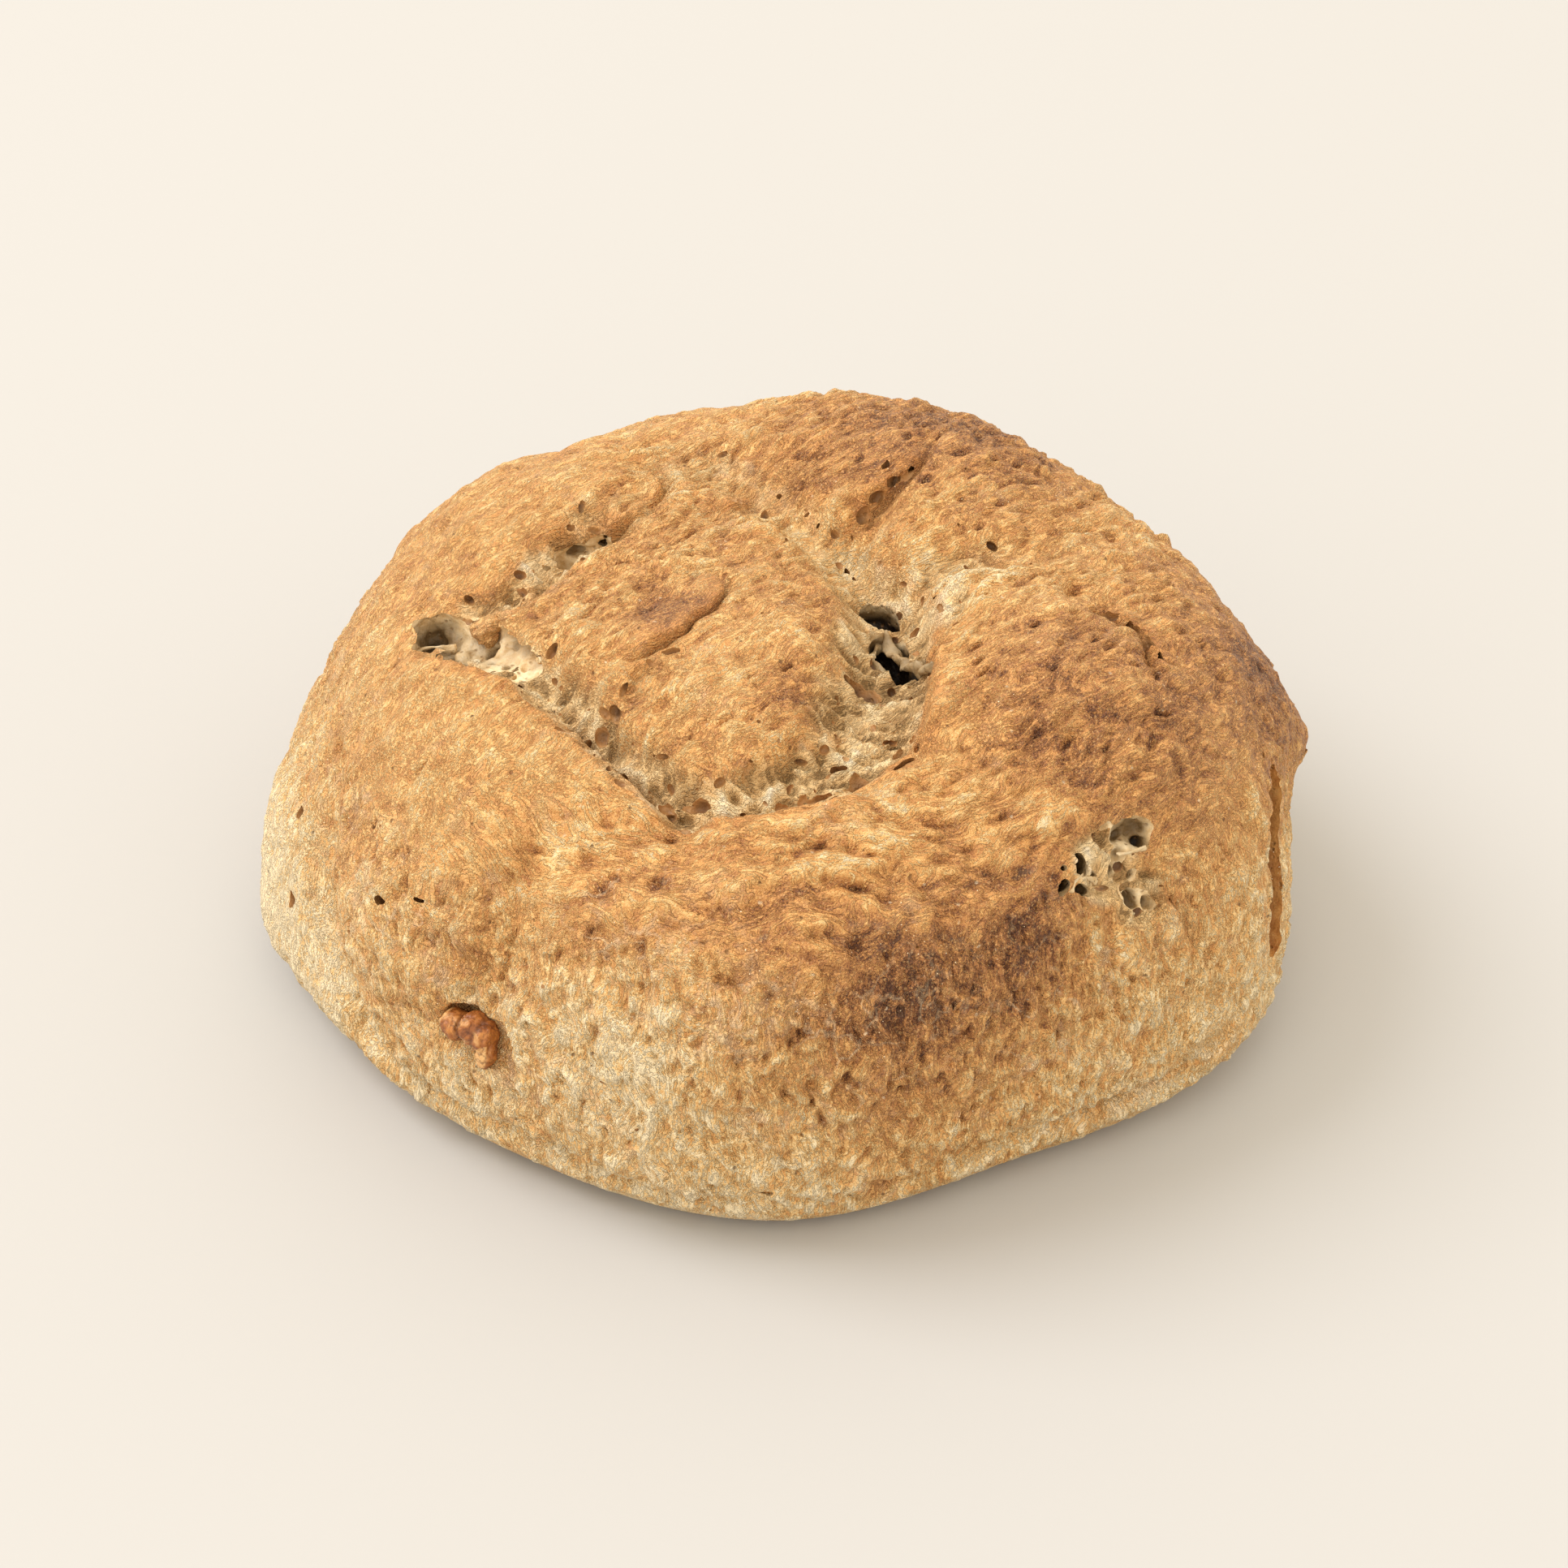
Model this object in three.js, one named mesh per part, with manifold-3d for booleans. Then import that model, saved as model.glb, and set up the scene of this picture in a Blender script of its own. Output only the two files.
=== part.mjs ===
// A round walnut sourdough loaf: one baked solid with a folded, torn crown, and the piece of walnut
// that shows in its side. Millimetres, +Z up, origin at the middle of the flat base.
import * as THREE from "three";
import { mergeVertices } from "three/addons/utils/BufferGeometryUtils.js";
import Module from "manifold-3d";

const wasm = await Module();
wasm.setup();

// ---- Driving dimensions -------------------------------------------------------------------------
const LOAF_HEIGHT = 83; // crown above the table, before the folds raise or sink it
const BELLY_HEIGHT = 16; // where the side stands out furthest
// Radius at the belly and how far the shoulder stands out past it, each every 30 degrees from +X
// round through +Y. The left side (180) leans back, where another loaf touched it in the oven.
const BELLY_RADII = [98, 97, 99, 98, 94, 94, 99, 92, 89, 92, 88, 98];
const SHOULDER_LEAN = [6, -2, 0, 1, -2, -1, -13, -6, -2, 0, 0, -1];
const CROWN_REACH_POWER = 0.46; // under 1 gives a broad flat crown with a tight shoulder
const CROWN_RISE_POWER = 0.82;
const BASE_SHARE = 0.9; // radius of the flat base over the belly's radius
const MEAN_RADIUS = 95;
const FACE_SIZE = 5.2; // edge of the facets on crown and side
const BASE_FACE_SIZE = 11;
const WALNUT_GAP = 0.35;

// ---- The plain form -----------------------------------------------------------------------------
// A section runs from the crown's middle (0) over the shoulder to the belly (1), round the skirt to
// the rim of the base (2), and in to the base's middle (3).
function around(values, azimuth) {
  const n = values.length;
  const place = ((azimuth / (2 * Math.PI)) * n + 2 * n) % n;
  const i = Math.floor(place);
  const t = place - i;
  const [a, b, c, d] = [-1, 0, 1, 2].map((k) => values[(i + k + n) % n]);
  return b + 0.5 * t * (c - a + t * (2 * a - 5 * b + 4 * c - d + t * (3 * (b - c) + d - a)));
}

function sectionPoint(radius, lean, section) {
  if (section <= 1) {
    const angle = ((1 - section) * Math.PI) / 2;
    const reach = Math.cos(angle) ** CROWN_REACH_POWER;
    const rise = Math.sin(angle) ** CROWN_RISE_POWER;
    return [(radius + lean * rise) * reach, BELLY_HEIGHT + (LOAF_HEIGHT - BELLY_HEIGHT) * rise];
  }
  if (section <= 2) {
    const down = section - 1;
    return [radius * (1 - (1 - BASE_SHARE) * down ** 2.2), BELLY_HEIGHT * (1 - down ** 0.9)];
  }
  return [radius * BASE_SHARE * (3 - section), 0];
}

function plainPoint(azimuth, section) {
  const [r, z] = sectionPoint(around(BELLY_RADII, azimuth), around(SHOULDER_LEAN, azimuth), section);
  return new THREE.Vector3(r * Math.cos(azimuth), r * Math.sin(azimuth), z);
}

function plainNormal(azimuth, section) {
  const step = 1e-3;
  const low = Math.max(section - step, 1e-4);
  const alongSection = plainPoint(azimuth, section + step).sub(plainPoint(azimuth, low));
  const round = plainPoint(azimuth + step, section).sub(plainPoint(azimuth - step, section));
  return alongSection.cross(round).normalize();
}

// The section value where measure(azimuth, section), which rises or falls all the way, is wanted.
function solveSection(measure, from, to, wanted) {
  const rising = measure(to) > measure(from);
  for (let i = 0; i < 40; i++) {
    const middle = (from + to) / 2;
    if (measure(middle) < wanted === rising) from = middle;
    else to = middle;
  }
  return (from + to) / 2;
}

// A place on the crown by its plan position, with its right towards +X, and a place on the side by
// azimuth and height, with its right round the loaf.
function onCrown(x, y) {
  const azimuth = Math.atan2(y, x);
  const section = solveSection(
    (s) => plainPoint(azimuth, s).setZ(0).length(), 1e-4, 1, Math.hypot(x, y));
  return { azimuth, section, right: [1, 0, 0] };
}

function onSide(degrees, height) {
  const azimuth = THREE.MathUtils.degToRad(degrees);
  const section = height >= BELLY_HEIGHT
    ? solveSection((s) => plainPoint(azimuth, s).z, 0, 1, height)
    : solveSection((s) => plainPoint(azimuth, s).z, 1, 2, height);
  return { azimuth, section, right: [-Math.sin(azimuth), Math.cos(azimuth), 0] };
}

const pointAt = ({ azimuth, section }) => plainPoint(azimuth, section);

// ---- Folds, mounds and creases ------------------------------------------------------------------
// Each groove is a route of places with its half width and depth there.
const crownStep = ([x, y, width, depth]) => ({ at: pointAt(onCrown(x, y)), width, depth });
const sideStep = ([degrees, height, width, depth]) => ({
  at: pointAt(onSide(degrees, height)), width, depth });

const GROOVES = [
  // The torn valley that runs round the folded-in centre, widest on the right.
  { closed: true, steps: [
    [-26, 44, 5, 2], [-14, 40, 6, 2.5], [-4, 30, 5.5, 4], [4, 20, 5.5, 5], [12, 10, 6, 6],
    [18, 1, 7.5, 8], [21, -8, 8, 9], [20, -19, 8.5, 9], [18, -32, 9, 8.5], [15, -45, 8.5, 8],
    [6, -54.5, 6.5, 7], [-4, -59, 4.8, 6], [-14, -59.5, 4.8, 6], [-23, -53, 4.5, 5.5],
    [-31, -43, 4.2, 5], [-39, -33, 4.5, 5], [-46, -24, 4.5, 4.5], [-53, -16, 5.5, 4],
    [-58, -7, 5, 3], [-49, -2, 4, 4], [-42, 7, 4.5, 4.5], [-36, 15, 5.5, 5], [-29, 23, 4.5, 4],
    [-24, 33, 4, 3],
  ].map(crownStep) },
  // Its branches towards the right and the back.
  { steps: [[20, 2, 6, 4], [28, 4, 6, 3], [44, 10, 6, 2.5], [62, 20, 6, 1.5]].map(crownStep) },
  { steps: [[14, 12, 3, 3], [19, 24, 3.5, 3], [29, 41, 2.5, 1.5]].map(crownStep) },
  // The fold between the front ridge and the left bulge, down to the walnut.
  { steps: [[-18, -66, 5, 3], [-40, -62, 6, 4]].map(crownStep).concat(
    [[235, 52, 6, 3], [232, 38, 5, 3]].map(sideStep)) },
  // The crescent on the right mound.
  { steps: [[55, -5, 2.5, 2], [66, -9, 3, 3], [71, -19, 2.5, 2]].map(crownStep) },
  // The corner where the pale left side meets the front.
  { steps: [[196, 56, 4, 1], [200, 44, 5, 4], [206, 27, 5, 4], [214, 16, 4, 2]].map(sideStep) },
  // The tucked hem just above the base.
  { steps: [[212, 14, 2.5, 2], [229, 12, 3, 2.5], [245, 11, 3, 2.5], [262, 10, 3, 1.5],
    [288, 11, 3, 2.5], [306, 12, 3, 2.5], [322, 12, 3, 2]].map(sideStep) },
];

// Each mound swells the surface by its rise, to a reach all round.
const MOUNDS = [
  { ...onCrown(50, -30), reach: 26, rise: 6 }, // right of the valley
  { ...onCrown(30, 44), reach: 26, rise: 5 }, // at the back
  { ...onCrown(-48, 32), reach: 24, rise: 3 },
  { ...onCrown(-10, -22), reach: 24, rise: 4 }, // the folded-in centre
  { ...onCrown(-60, -36), reach: 22, rise: 3 },
  { ...onSide(278, 64), reach: 26, rise: 4 }, // the front ridge
  { ...onSide(300, 58), reach: 18, rise: 4 },
  { ...onSide(217, 42), reach: 17, rise: 4 }, // the left bulge
  { ...onSide(187, 22), reach: 24, rise: 1.8 }, // the pale left side
  { ...onSide(184, 34), reach: 8, rise: 1.4 }, // the upper edge of the pale side
  { ...onSide(180, 48), reach: 10, rise: -3.6 },
  { ...onSide(338, 24), reach: 22, rise: 1.2 }, // the lower right corner
  { ...onSide(350, 42), reach: 14, rise: -2 },
  { ...onSide(1, 51), reach: 11, rise: 1.8 }, // the right shoulder
  { ...onSide(1, 44.5), reach: 5.5, rise: 3 }, // the curled point on it
  { ...onSide(54, 68), reach: 15, rise: -2.2 }, // the back shoulder
  { ...onSide(96, 72), reach: 10, rise: -1.8 },
  { ...onSide(122, 66), reach: 11, rise: -2.6 },
];

function routeOf(groove) {
  const curve = new THREE.CatmullRomCurve3(
    groove.steps.map((s) => s.at), Boolean(groove.closed), "centripetal");
  const count = groove.steps.length - (groove.closed ? 0 : 1);
  const parts = 8;
  return Array.from({ length: count * parts + 1 }, (_, i) => {
    const a = groove.steps[Math.floor(i / parts) % groove.steps.length];
    const b = groove.steps[(Math.floor(i / parts) + 1) % groove.steps.length];
    const t = (i % parts) / parts;
    return { at: curve.getPoint(Math.min(i / (count * parts), 1)),
      width: THREE.MathUtils.lerp(a.width, b.width, t),
      depth: THREE.MathUtils.lerp(a.depth, b.depth, t) };
  });
}

const ROUTES = GROOVES.map(routeOf);
const MOUND_PLACES = MOUNDS.map((m) => ({ ...m, at: pointAt(m) }));

function relief(point) {
  let height = 0;
  for (const { at, reach, rise } of MOUND_PLACES)
    height += rise * Math.exp(-((point.distanceTo(at) / reach) ** 2));
  for (const route of ROUTES) {
    let deepest = 0;
    for (const { at, width, depth } of route)
      deepest = Math.max(deepest, depth / (1 + (point.distanceTo(at) / width) ** 4));
    height -= deepest;
  }
  return height;
}

// The relief fades out on the skirt, so that the base stays flat.
function loafPoint(azimuth, section) {
  const point = plainPoint(azimuth, section);
  const kept = 1 - THREE.MathUtils.smoothstep(section, 1.35, 1.95);
  return point.addScaledVector(plainNormal(azimuth, section), relief(point) * kept);
}

// ---- Rings of facets ----------------------------------------------------------------------------
// Rings lie one facet apart along the section, and each has as many corners as its length needs.
function ringSections() {
  const samples = 4000;
  const found = [];
  let run = 0;
  let last = sectionPoint(MEAN_RADIUS, 0, 0);
  for (let i = 1; i <= samples; i++) {
    const section = (3 * i) / samples;
    const next = sectionPoint(MEAN_RADIUS, 0, section);
    run += Math.hypot(next[0] - last[0], next[1] - last[1]);
    last = next;
    const size = section < 2 ? FACE_SIZE : BASE_FACE_SIZE;
    if (run >= size * 0.866 && MEAN_RADIUS * BASE_SHARE * (3 - section) > size * 0.6) {
      found.push({ section, count: Math.max(6, Math.round((2 * Math.PI * next[0]) / size)) });
      run = 0;
    }
  }
  return found;
}

function loafGeometry() {
  const positions = [...loafPoint(0, 1e-4)];
  const faces = [];
  const rings = ringSections().map(({ section, count }, row) => {
    const first = positions.length / 3;
    for (let i = 0; i < count; i++)
      positions.push(...loafPoint(((i + (row % 2) / 2) / count) * 2 * Math.PI, section));
    return { first, count, shift: (row % 2) / 2 };
  });
  const last = positions.length / 3;
  positions.push(0, 0, 0);
  const top = rings[0];
  for (let i = 0; i < top.count; i++) faces.push(0, top.first + i, top.first + ((i + 1) % top.count));
  for (let k = 0; k + 1 < rings.length; k++) stitch(rings[k], rings[k + 1], faces);
  const foot = rings[rings.length - 1];
  for (let i = 0; i < foot.count; i++)
    faces.push(last, foot.first + ((i + 1) % foot.count), foot.first + i);
  const geometry = new THREE.BufferGeometry();
  geometry.setAttribute("position", new THREE.Float32BufferAttribute(positions, 3));
  geometry.setIndex(faces);
  return geometry;
}

// Joins two rings with different numbers of corners, always stepping along the one that is behind.
function stitch(upper, lower, faces) {
  const turn = (ring, i) => (i + ring.shift) / ring.count;
  const corner = (ring, i) => ring.first + (i % ring.count);
  let i = 0;
  let j = 0;
  while (i < upper.count || j < lower.count) {
    const upperNext = i < upper.count && (j >= lower.count || turn(upper, i + 1) < turn(lower, j + 1));
    if (upperNext) {
      faces.push(corner(upper, i), corner(lower, j), corner(upper, i + 1));
      i += 1;
    } else {
      faces.push(corner(upper, i), corner(lower, j), corner(lower, j + 1));
      j += 1;
    }
  }
}

// ---- Solids ---------------------------------------------------------------------------------------
function solidOf(geometry) {
  const bare = geometry.clone();
  bare.deleteAttribute("normal");
  bare.deleteAttribute("uv");
  const merged = mergeVertices(bare, 1e-4);
  return new wasm.Manifold(new wasm.Mesh({
    numProp: 3,
    vertProperties: new Float32Array(merged.attributes.position.array),
    triVerts: new Uint32Array(merged.index.array),
  }));
}

function geometryOf(solid) {
  const { vertProperties, triVerts } = solid.getMesh();
  const geometry = new THREE.BufferGeometry();
  geometry.setAttribute("position", new THREE.Float32BufferAttribute(vertProperties, 3));
  geometry.setIndex(new THREE.BufferAttribute(new Uint32Array(triVerts), 1));
  return geometry;
}

// An uneven egg with radii along a place's right, up and out, turned about its out by degrees and
// set at an offset from the place on the plain form.
function egg(place, offset, radii, turn = 0, { detail = 2, grow = 0 } = {}) {
  const out = plainNormal(place.azimuth, place.section);
  const right = new THREE.Vector3(...place.right);
  right.addScaledVector(out, -right.dot(out)).normalize();
  const up = new THREE.Vector3().crossVectors(out, right);
  const frame = new THREE.Matrix4().makeBasis(right, up, out).setPosition(pointAt(place));
  const spin = new THREE.Matrix4().makeRotationZ(THREE.MathUtils.degToRad(turn));
  const geometry = new THREE.IcosahedronGeometry(1, detail);
  const position = geometry.attributes.position;
  const v = new THREE.Vector3();
  for (let i = 0; i < position.count; i++) {
    v.fromBufferAttribute(position, i).normalize();
    const swell = 1 + 0.1 * Math.sin(3.1 * v.x + 1.7 * v.z) * Math.cos(2.7 * v.y - 1.3 * v.x);
    v.multiplyScalar(swell).multiply(new THREE.Vector3(...radii.map((r) => r + grow)));
    v.applyMatrix4(spin).add(new THREE.Vector3(...offset)).applyMatrix4(frame);
    position.setXYZ(i, v.x, v.y, v.z);
  }
  return solidOf(geometry);
}

// Open pockets: place, depth of the middle below the surface there, radii, turn in degrees.
const POCKETS = [
  // Left, under the crust's lip.
  [onCrown(-62.5, -6), 0.8, [5.6, 5.6, 4.2], 0],
  [onCrown(-56.5, -10), 0.8, [5.8, 6, 4], -30],
  [onCrown(-51, -14.5), 0.2, [6.4, 5.8, 3.2], -35],
  [onCrown(-46.5, -20), -0.2, [6, 5.4, 2.6], -40],
  [onCrown(-61.5, -13.8), 4.4, [5, 2.2, 4.4], -38],
  // Back left, and the slit that runs on from it.
  [onCrown(-38, 15.6), 1.8, [5, 4.4, 4], 15],
  [onCrown(-32.8, 18.6), 2, [4.8, 3.8, 3.8], 30],
  [onCrown(-27.6, 23.8), 1.4, [5, 1.3, 2.6], 42],
  // The deep hole beside the centre, its chamber and the lower opening.
  [onCrown(19, 0.8), 1, [3.8, 5, 5.4], 25],
  [onCrown(20, -2), 8, [5.4, 6.4, 7.4], 0],
  [onCrown(20.8, -12), 2.4, [3.8, 6, 5], 12],
  [onCrown(23.8, -19), 2, [5.2, 3.2, 4], -28],
  [onCrown(21, -13), 7, [4.6, 6, 5], 0],
  // Front right, webbed over.
  [onSide(319.4, 64.2), 1.8, [4.6, 3.8, 4.4], -20],
  [onSide(315.8, 61), 2.8, [3.6, 2.2, 4], 35],
  [onSide(310, 61.6), 2.6, [3, 2.6, 3.6], 0],
  [onSide(317.6, 54.4), 1, [3.4, 2.6, 2.6], -30],
  // The upright tear beside the right corner.
  [onSide(344.4, 51.2), 1.2, [2.3, 4.6, 6], 42],
  [onSide(341, 46.6), 1.4, [3, 6.6, 7], 30],
  [onSide(338.2, 38.6), 1.4, [3, 7.6, 7], 15],
  [onSide(336.4, 29.2), 1.1, [2.6, 7.4, 6], 7],
];

// The walnut's lobes, as offsets and radii in the frame of the place where it shows: one runs left,
// one hangs down. It lies in a hollow of the crust.
const WALNUT_PLACE = onSide(232, 32.2);
const WALNUT_LOBES = [
  [[-3.4, 0.1, -0.7], [3.5, 2.7, 3]],
  [[0.4, 1.2, -0.8], [2.6, 3, 3.4]],
  [[2.8, 0.4, -0.8], [2.1, 2.8, 3]],
  [[3.5, -2.7, -0.5], [1.7, 3.2, 2.4]],
];
const HOLLOW = [
  [[0, 0, 2.2], [8, 6.2, 4], -10],
  [[4.6, -0.2, -0.4], [5, 5.2, 2.8], -20],
];

function walnutSolid(grow) {
  return WALNUT_LOBES.map(([offset, radii]) => egg(WALNUT_PLACE, offset, radii, 0, { detail: 3, grow }))
    .reduce((whole, lobe) => whole.add(lobe));
}

function pocket([place, depth, radii, turn]) {
  return egg(place, [0, 0, relief(pointAt(place)) - depth], radii, turn);
}

function loafSolid() {
  let solid = solidOf(loafGeometry());
  for (const each of POCKETS) solid = solid.subtract(pocket(each));
  for (const [offset, radii, turn] of HOLLOW)
    solid = solid.subtract(egg(WALNUT_PLACE, offset, radii, turn));
  solid = solid.subtract(walnutSolid(WALNUT_GAP));
  return solid.decompose().sort((a, b) => b.volume() - a.volume())[0];
}

// ---- The object -----------------------------------------------------------------------------------
const CRUST = new THREE.MeshStandardMaterial({ color: 0xcf9a61, roughness: 0.75, metalness: 0 });
const NUT = new THREE.MeshStandardMaterial({ color: 0x9a6236, roughness: 0.5, metalness: 0 });

function meshOf(name, solid, material) {
  const mesh = new THREE.Mesh(geometryOf(solid), material);
  mesh.name = name;
  return mesh;
}

const loaf = new THREE.Group();
loaf.name = "walnut_sourdough";
loaf.add(meshOf("loaf", loafSolid(), CRUST));
loaf.add(meshOf("walnut", walnutSolid(0), NUT));

export default loaf;
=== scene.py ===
"""A round walnut sourdough loaf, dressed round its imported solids.

Sizes are millimetres until a mesh is made. The loaf's middle is the origin, +Z is up, and azimuth
runs from +X through +Y. A section runs from the crown's middle (0) over the shoulder to the belly
(1), round the skirt to the rim of the base (2), and in to the base's middle (3).
"""
import math

import bmesh
import bpy
import numpy as np
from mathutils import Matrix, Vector
from mathutils.kdtree import KDTree


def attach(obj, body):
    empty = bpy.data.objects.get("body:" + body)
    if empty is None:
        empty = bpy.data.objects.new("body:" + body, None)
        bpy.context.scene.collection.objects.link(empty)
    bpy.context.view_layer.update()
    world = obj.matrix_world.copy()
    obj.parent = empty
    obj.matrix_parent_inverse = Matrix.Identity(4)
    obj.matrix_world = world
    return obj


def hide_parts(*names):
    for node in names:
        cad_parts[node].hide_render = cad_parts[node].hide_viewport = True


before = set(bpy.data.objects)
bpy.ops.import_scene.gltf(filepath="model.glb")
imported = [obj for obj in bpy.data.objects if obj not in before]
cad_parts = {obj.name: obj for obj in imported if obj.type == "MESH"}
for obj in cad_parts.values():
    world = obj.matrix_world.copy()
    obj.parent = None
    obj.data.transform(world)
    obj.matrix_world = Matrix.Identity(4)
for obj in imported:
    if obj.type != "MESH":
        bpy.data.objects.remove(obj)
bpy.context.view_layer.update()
scene = bpy.context.scene
MM = 0.001

# ---- The plain form, as in the solids ----------------------------------------------------------------
LOAF_HEIGHT = 83
BELLY_HEIGHT = 16
BELLY_RADII = [98, 97, 99, 98, 94, 94, 99, 92, 89, 92, 88, 98]
SHOULDER_LEAN = [6, -2, 0, 1, -2, -1, -13, -6, -2, 0, 0, -1]
CROWN_REACH_POWER = 0.46
CROWN_RISE_POWER = 0.82
BASE_SHARE = 0.9
MEAN_RADIUS = 95


def around(values, azimuth):
    values = np.asarray(values, float)
    place = (np.asarray(azimuth) / (2 * np.pi) * len(values)) % len(values)
    i = np.floor(place).astype(int)
    t = place - i
    a, b, c, d = [values[(i + k) % len(values)] for k in (-1, 0, 1, 2)]
    return b + 0.5 * t * (c - a + t * (2 * a - 5 * b + 4 * c - d + t * (3 * (b - c) + d - a)))


def section_point(radius, lean, section):
    section = np.asarray(section, float)
    angle = (1 - np.clip(section, 0, 1)) * np.pi / 2
    rise = np.maximum(np.sin(angle), 0) ** CROWN_RISE_POWER
    reach = np.maximum(np.cos(angle), 0) ** CROWN_REACH_POWER
    crown_r = (radius + lean * rise) * reach
    crown_z = BELLY_HEIGHT + (LOAF_HEIGHT - BELLY_HEIGHT) * rise
    down = np.clip(section - 1, 0, 1)
    skirt_r = radius * (1 - (1 - BASE_SHARE) * down**2.2)
    skirt_z = BELLY_HEIGHT * (1 - down**0.9)
    base_r = radius * BASE_SHARE * (3 - section)
    r = np.where(section <= 1, crown_r, np.where(section <= 2, skirt_r, base_r))
    z = np.where(section <= 1, crown_z, np.where(section <= 2, skirt_z, 0))
    return r, z


def plain_points(azimuth, section):
    r, z = section_point(around(BELLY_RADII, azimuth), around(SHOULDER_LEAN, azimuth), section)
    return np.stack([r * np.cos(azimuth), r * np.sin(azimuth), z + 0 * r], -1)


def plain_normals(azimuth, section):
    step = 1e-3
    low = np.maximum(section - step, 1e-4)
    along = plain_points(azimuth, section + step) - plain_points(azimuth, low)
    turn = plain_points(azimuth + step, section) - plain_points(azimuth - step, section)
    normal = np.cross(along, turn)
    return normal / np.linalg.norm(normal, axis=-1, keepdims=True)


def solve_section(measure, low, high, wanted):
    rising = measure(high) > measure(low)
    for _ in range(40):
        middle = (low + high) / 2
        if (measure(middle) < wanted) == rising:
            low = middle
        else:
            high = middle
    return (low + high) / 2


class Place:
    """A point of the plain form with its own right, up and out directions."""

    def __init__(self, azimuth, section, right):
        self.at = plain_points(azimuth, section)
        self.out = plain_normals(azimuth, section)
        self.right = right - self.out * (right @ self.out)
        self.right /= np.linalg.norm(self.right)
        self.up = np.cross(self.out, self.right)

    def local(self, points, turn=0):
        """Points in this place's frame, turned about its out direction."""
        away = points - self.at
        x, y, z = away @ self.right, away @ self.up, away @ self.out
        c, s = math.cos(turn), math.sin(turn)
        return np.stack([c * x + s * y, c * y - s * x, z], -1)

    def world(self, x, y, z):
        return self.at + x * self.right + y * self.up + z * self.out


def crown(x, y):
    """The place over plan position x, y. Its right is +X."""
    azimuth = math.atan2(y, x)
    reach = math.hypot(x, y)
    section = solve_section(
        lambda s: np.linalg.norm(plain_points(azimuth, s)[:2]), 1e-4, 1, reach)
    return Place(azimuth, section, np.array([1.0, 0, 0]))


def side(degrees, height):
    """The place on the side at an azimuth and a height. Its right runs round the loaf."""
    azimuth = math.radians(degrees)
    span = (0, 1) if height >= BELLY_HEIGHT else (1, 2)
    section = solve_section(lambda s: plain_points(azimuth, s)[2], *span, height)
    return Place(azimuth, section, np.array([-math.sin(azimuth), math.cos(azimuth), 0]))


# ---- Seeded noise ------------------------------------------------------------------------------------
def lattice(points, steps):
    """The lattice cell of each point, the place in it, and each axis's share of a random number."""
    cell = np.floor(points)
    corner = cell.astype(np.int64).astype(np.uint32)
    factors = (374761393, 668265263, 2246822519)
    shares = [{step: (corner[:, k] + np.uint32(step % 2**32)) * np.uint32(factor) for step in steps}
              for k, factor in enumerate(factors)]
    return points - cell, shares


def random_parts(shares, step, seed):
    """Three random numbers from 0 to 1, always the same for the same lattice corner and seed."""
    n = shares[0][step[0]] + shares[1][step[1]] + shares[2][step[2]]
    n = n + np.uint32((seed * 3266489917) % 2**32)
    n = (n ^ (n >> np.uint32(15))) * np.uint32(2654435761)
    n = (n ^ (n >> np.uint32(13))) * np.uint32(1274126177)
    n = n ^ (n >> np.uint32(16))
    return [((n >> np.uint32(10 * k)) & np.uint32(1023)).astype(float) / 1023 for k in range(3)]


def noise(points, size, seed):
    """Gradient noise from about -1 to 1. size is one length, or one for each axis."""
    f, shares = lattice(points / np.asarray(size, float), (0, 1))
    fade = f**3 * (f * (6 * f - 15) + 10)
    total = np.zeros(len(points))
    for corner in np.ndindex(2, 2, 2):
        parts = random_parts(shares, corner, seed)
        weight = np.ones(len(points))
        slope = np.zeros(len(points))
        for k in range(3):
            weight *= fade[:, k] if corner[k] else 1 - fade[:, k]
            slope += (f[:, k] - corner[k]) * (parts[k] * 2 - 1)
        total += weight * slope
    return total * 1.5


def rough_noise(points, size, seed, octaves=3):
    size = np.asarray(size, float)
    return sum(noise(points, size / 2**k, seed + 7 * k) / 2**k for k in range(octaves))


def bubbles(points, size, seed):
    """The distance to the nearest scattered seed, in sizes, and that seed's own random number."""
    f, shares = lattice(points / np.asarray(size, float), (-1, 0, 1))
    first = np.full(len(points), 9.0)
    own = np.zeros(len(points))
    for step in np.ndindex(3, 3, 3):
        step = [k - 1 for k in step]
        parts = random_parts(shares, step, seed)
        d = sum((f[:, k] - step[k] - parts[k]) ** 2 for k in range(3))
        closer = d < first
        first[closer] = d[closer]
        own[closer] = (parts[0] * 7.31 + parts[1] * 3.17)[closer] % 1
    return np.sqrt(first), own


def pits(points, size, seed):
    """1 at the middle of scattered pits, which take up a third of their places."""
    first, own = bubbles(points, size, seed)
    return (1 - ease(first, 0.1, 0.46)) * (own < 0.34)


def ease(value, low, high):
    t = np.clip((value - low) / (high - low), 0, 1)
    return t * t * (3 - 2 * t)


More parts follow.
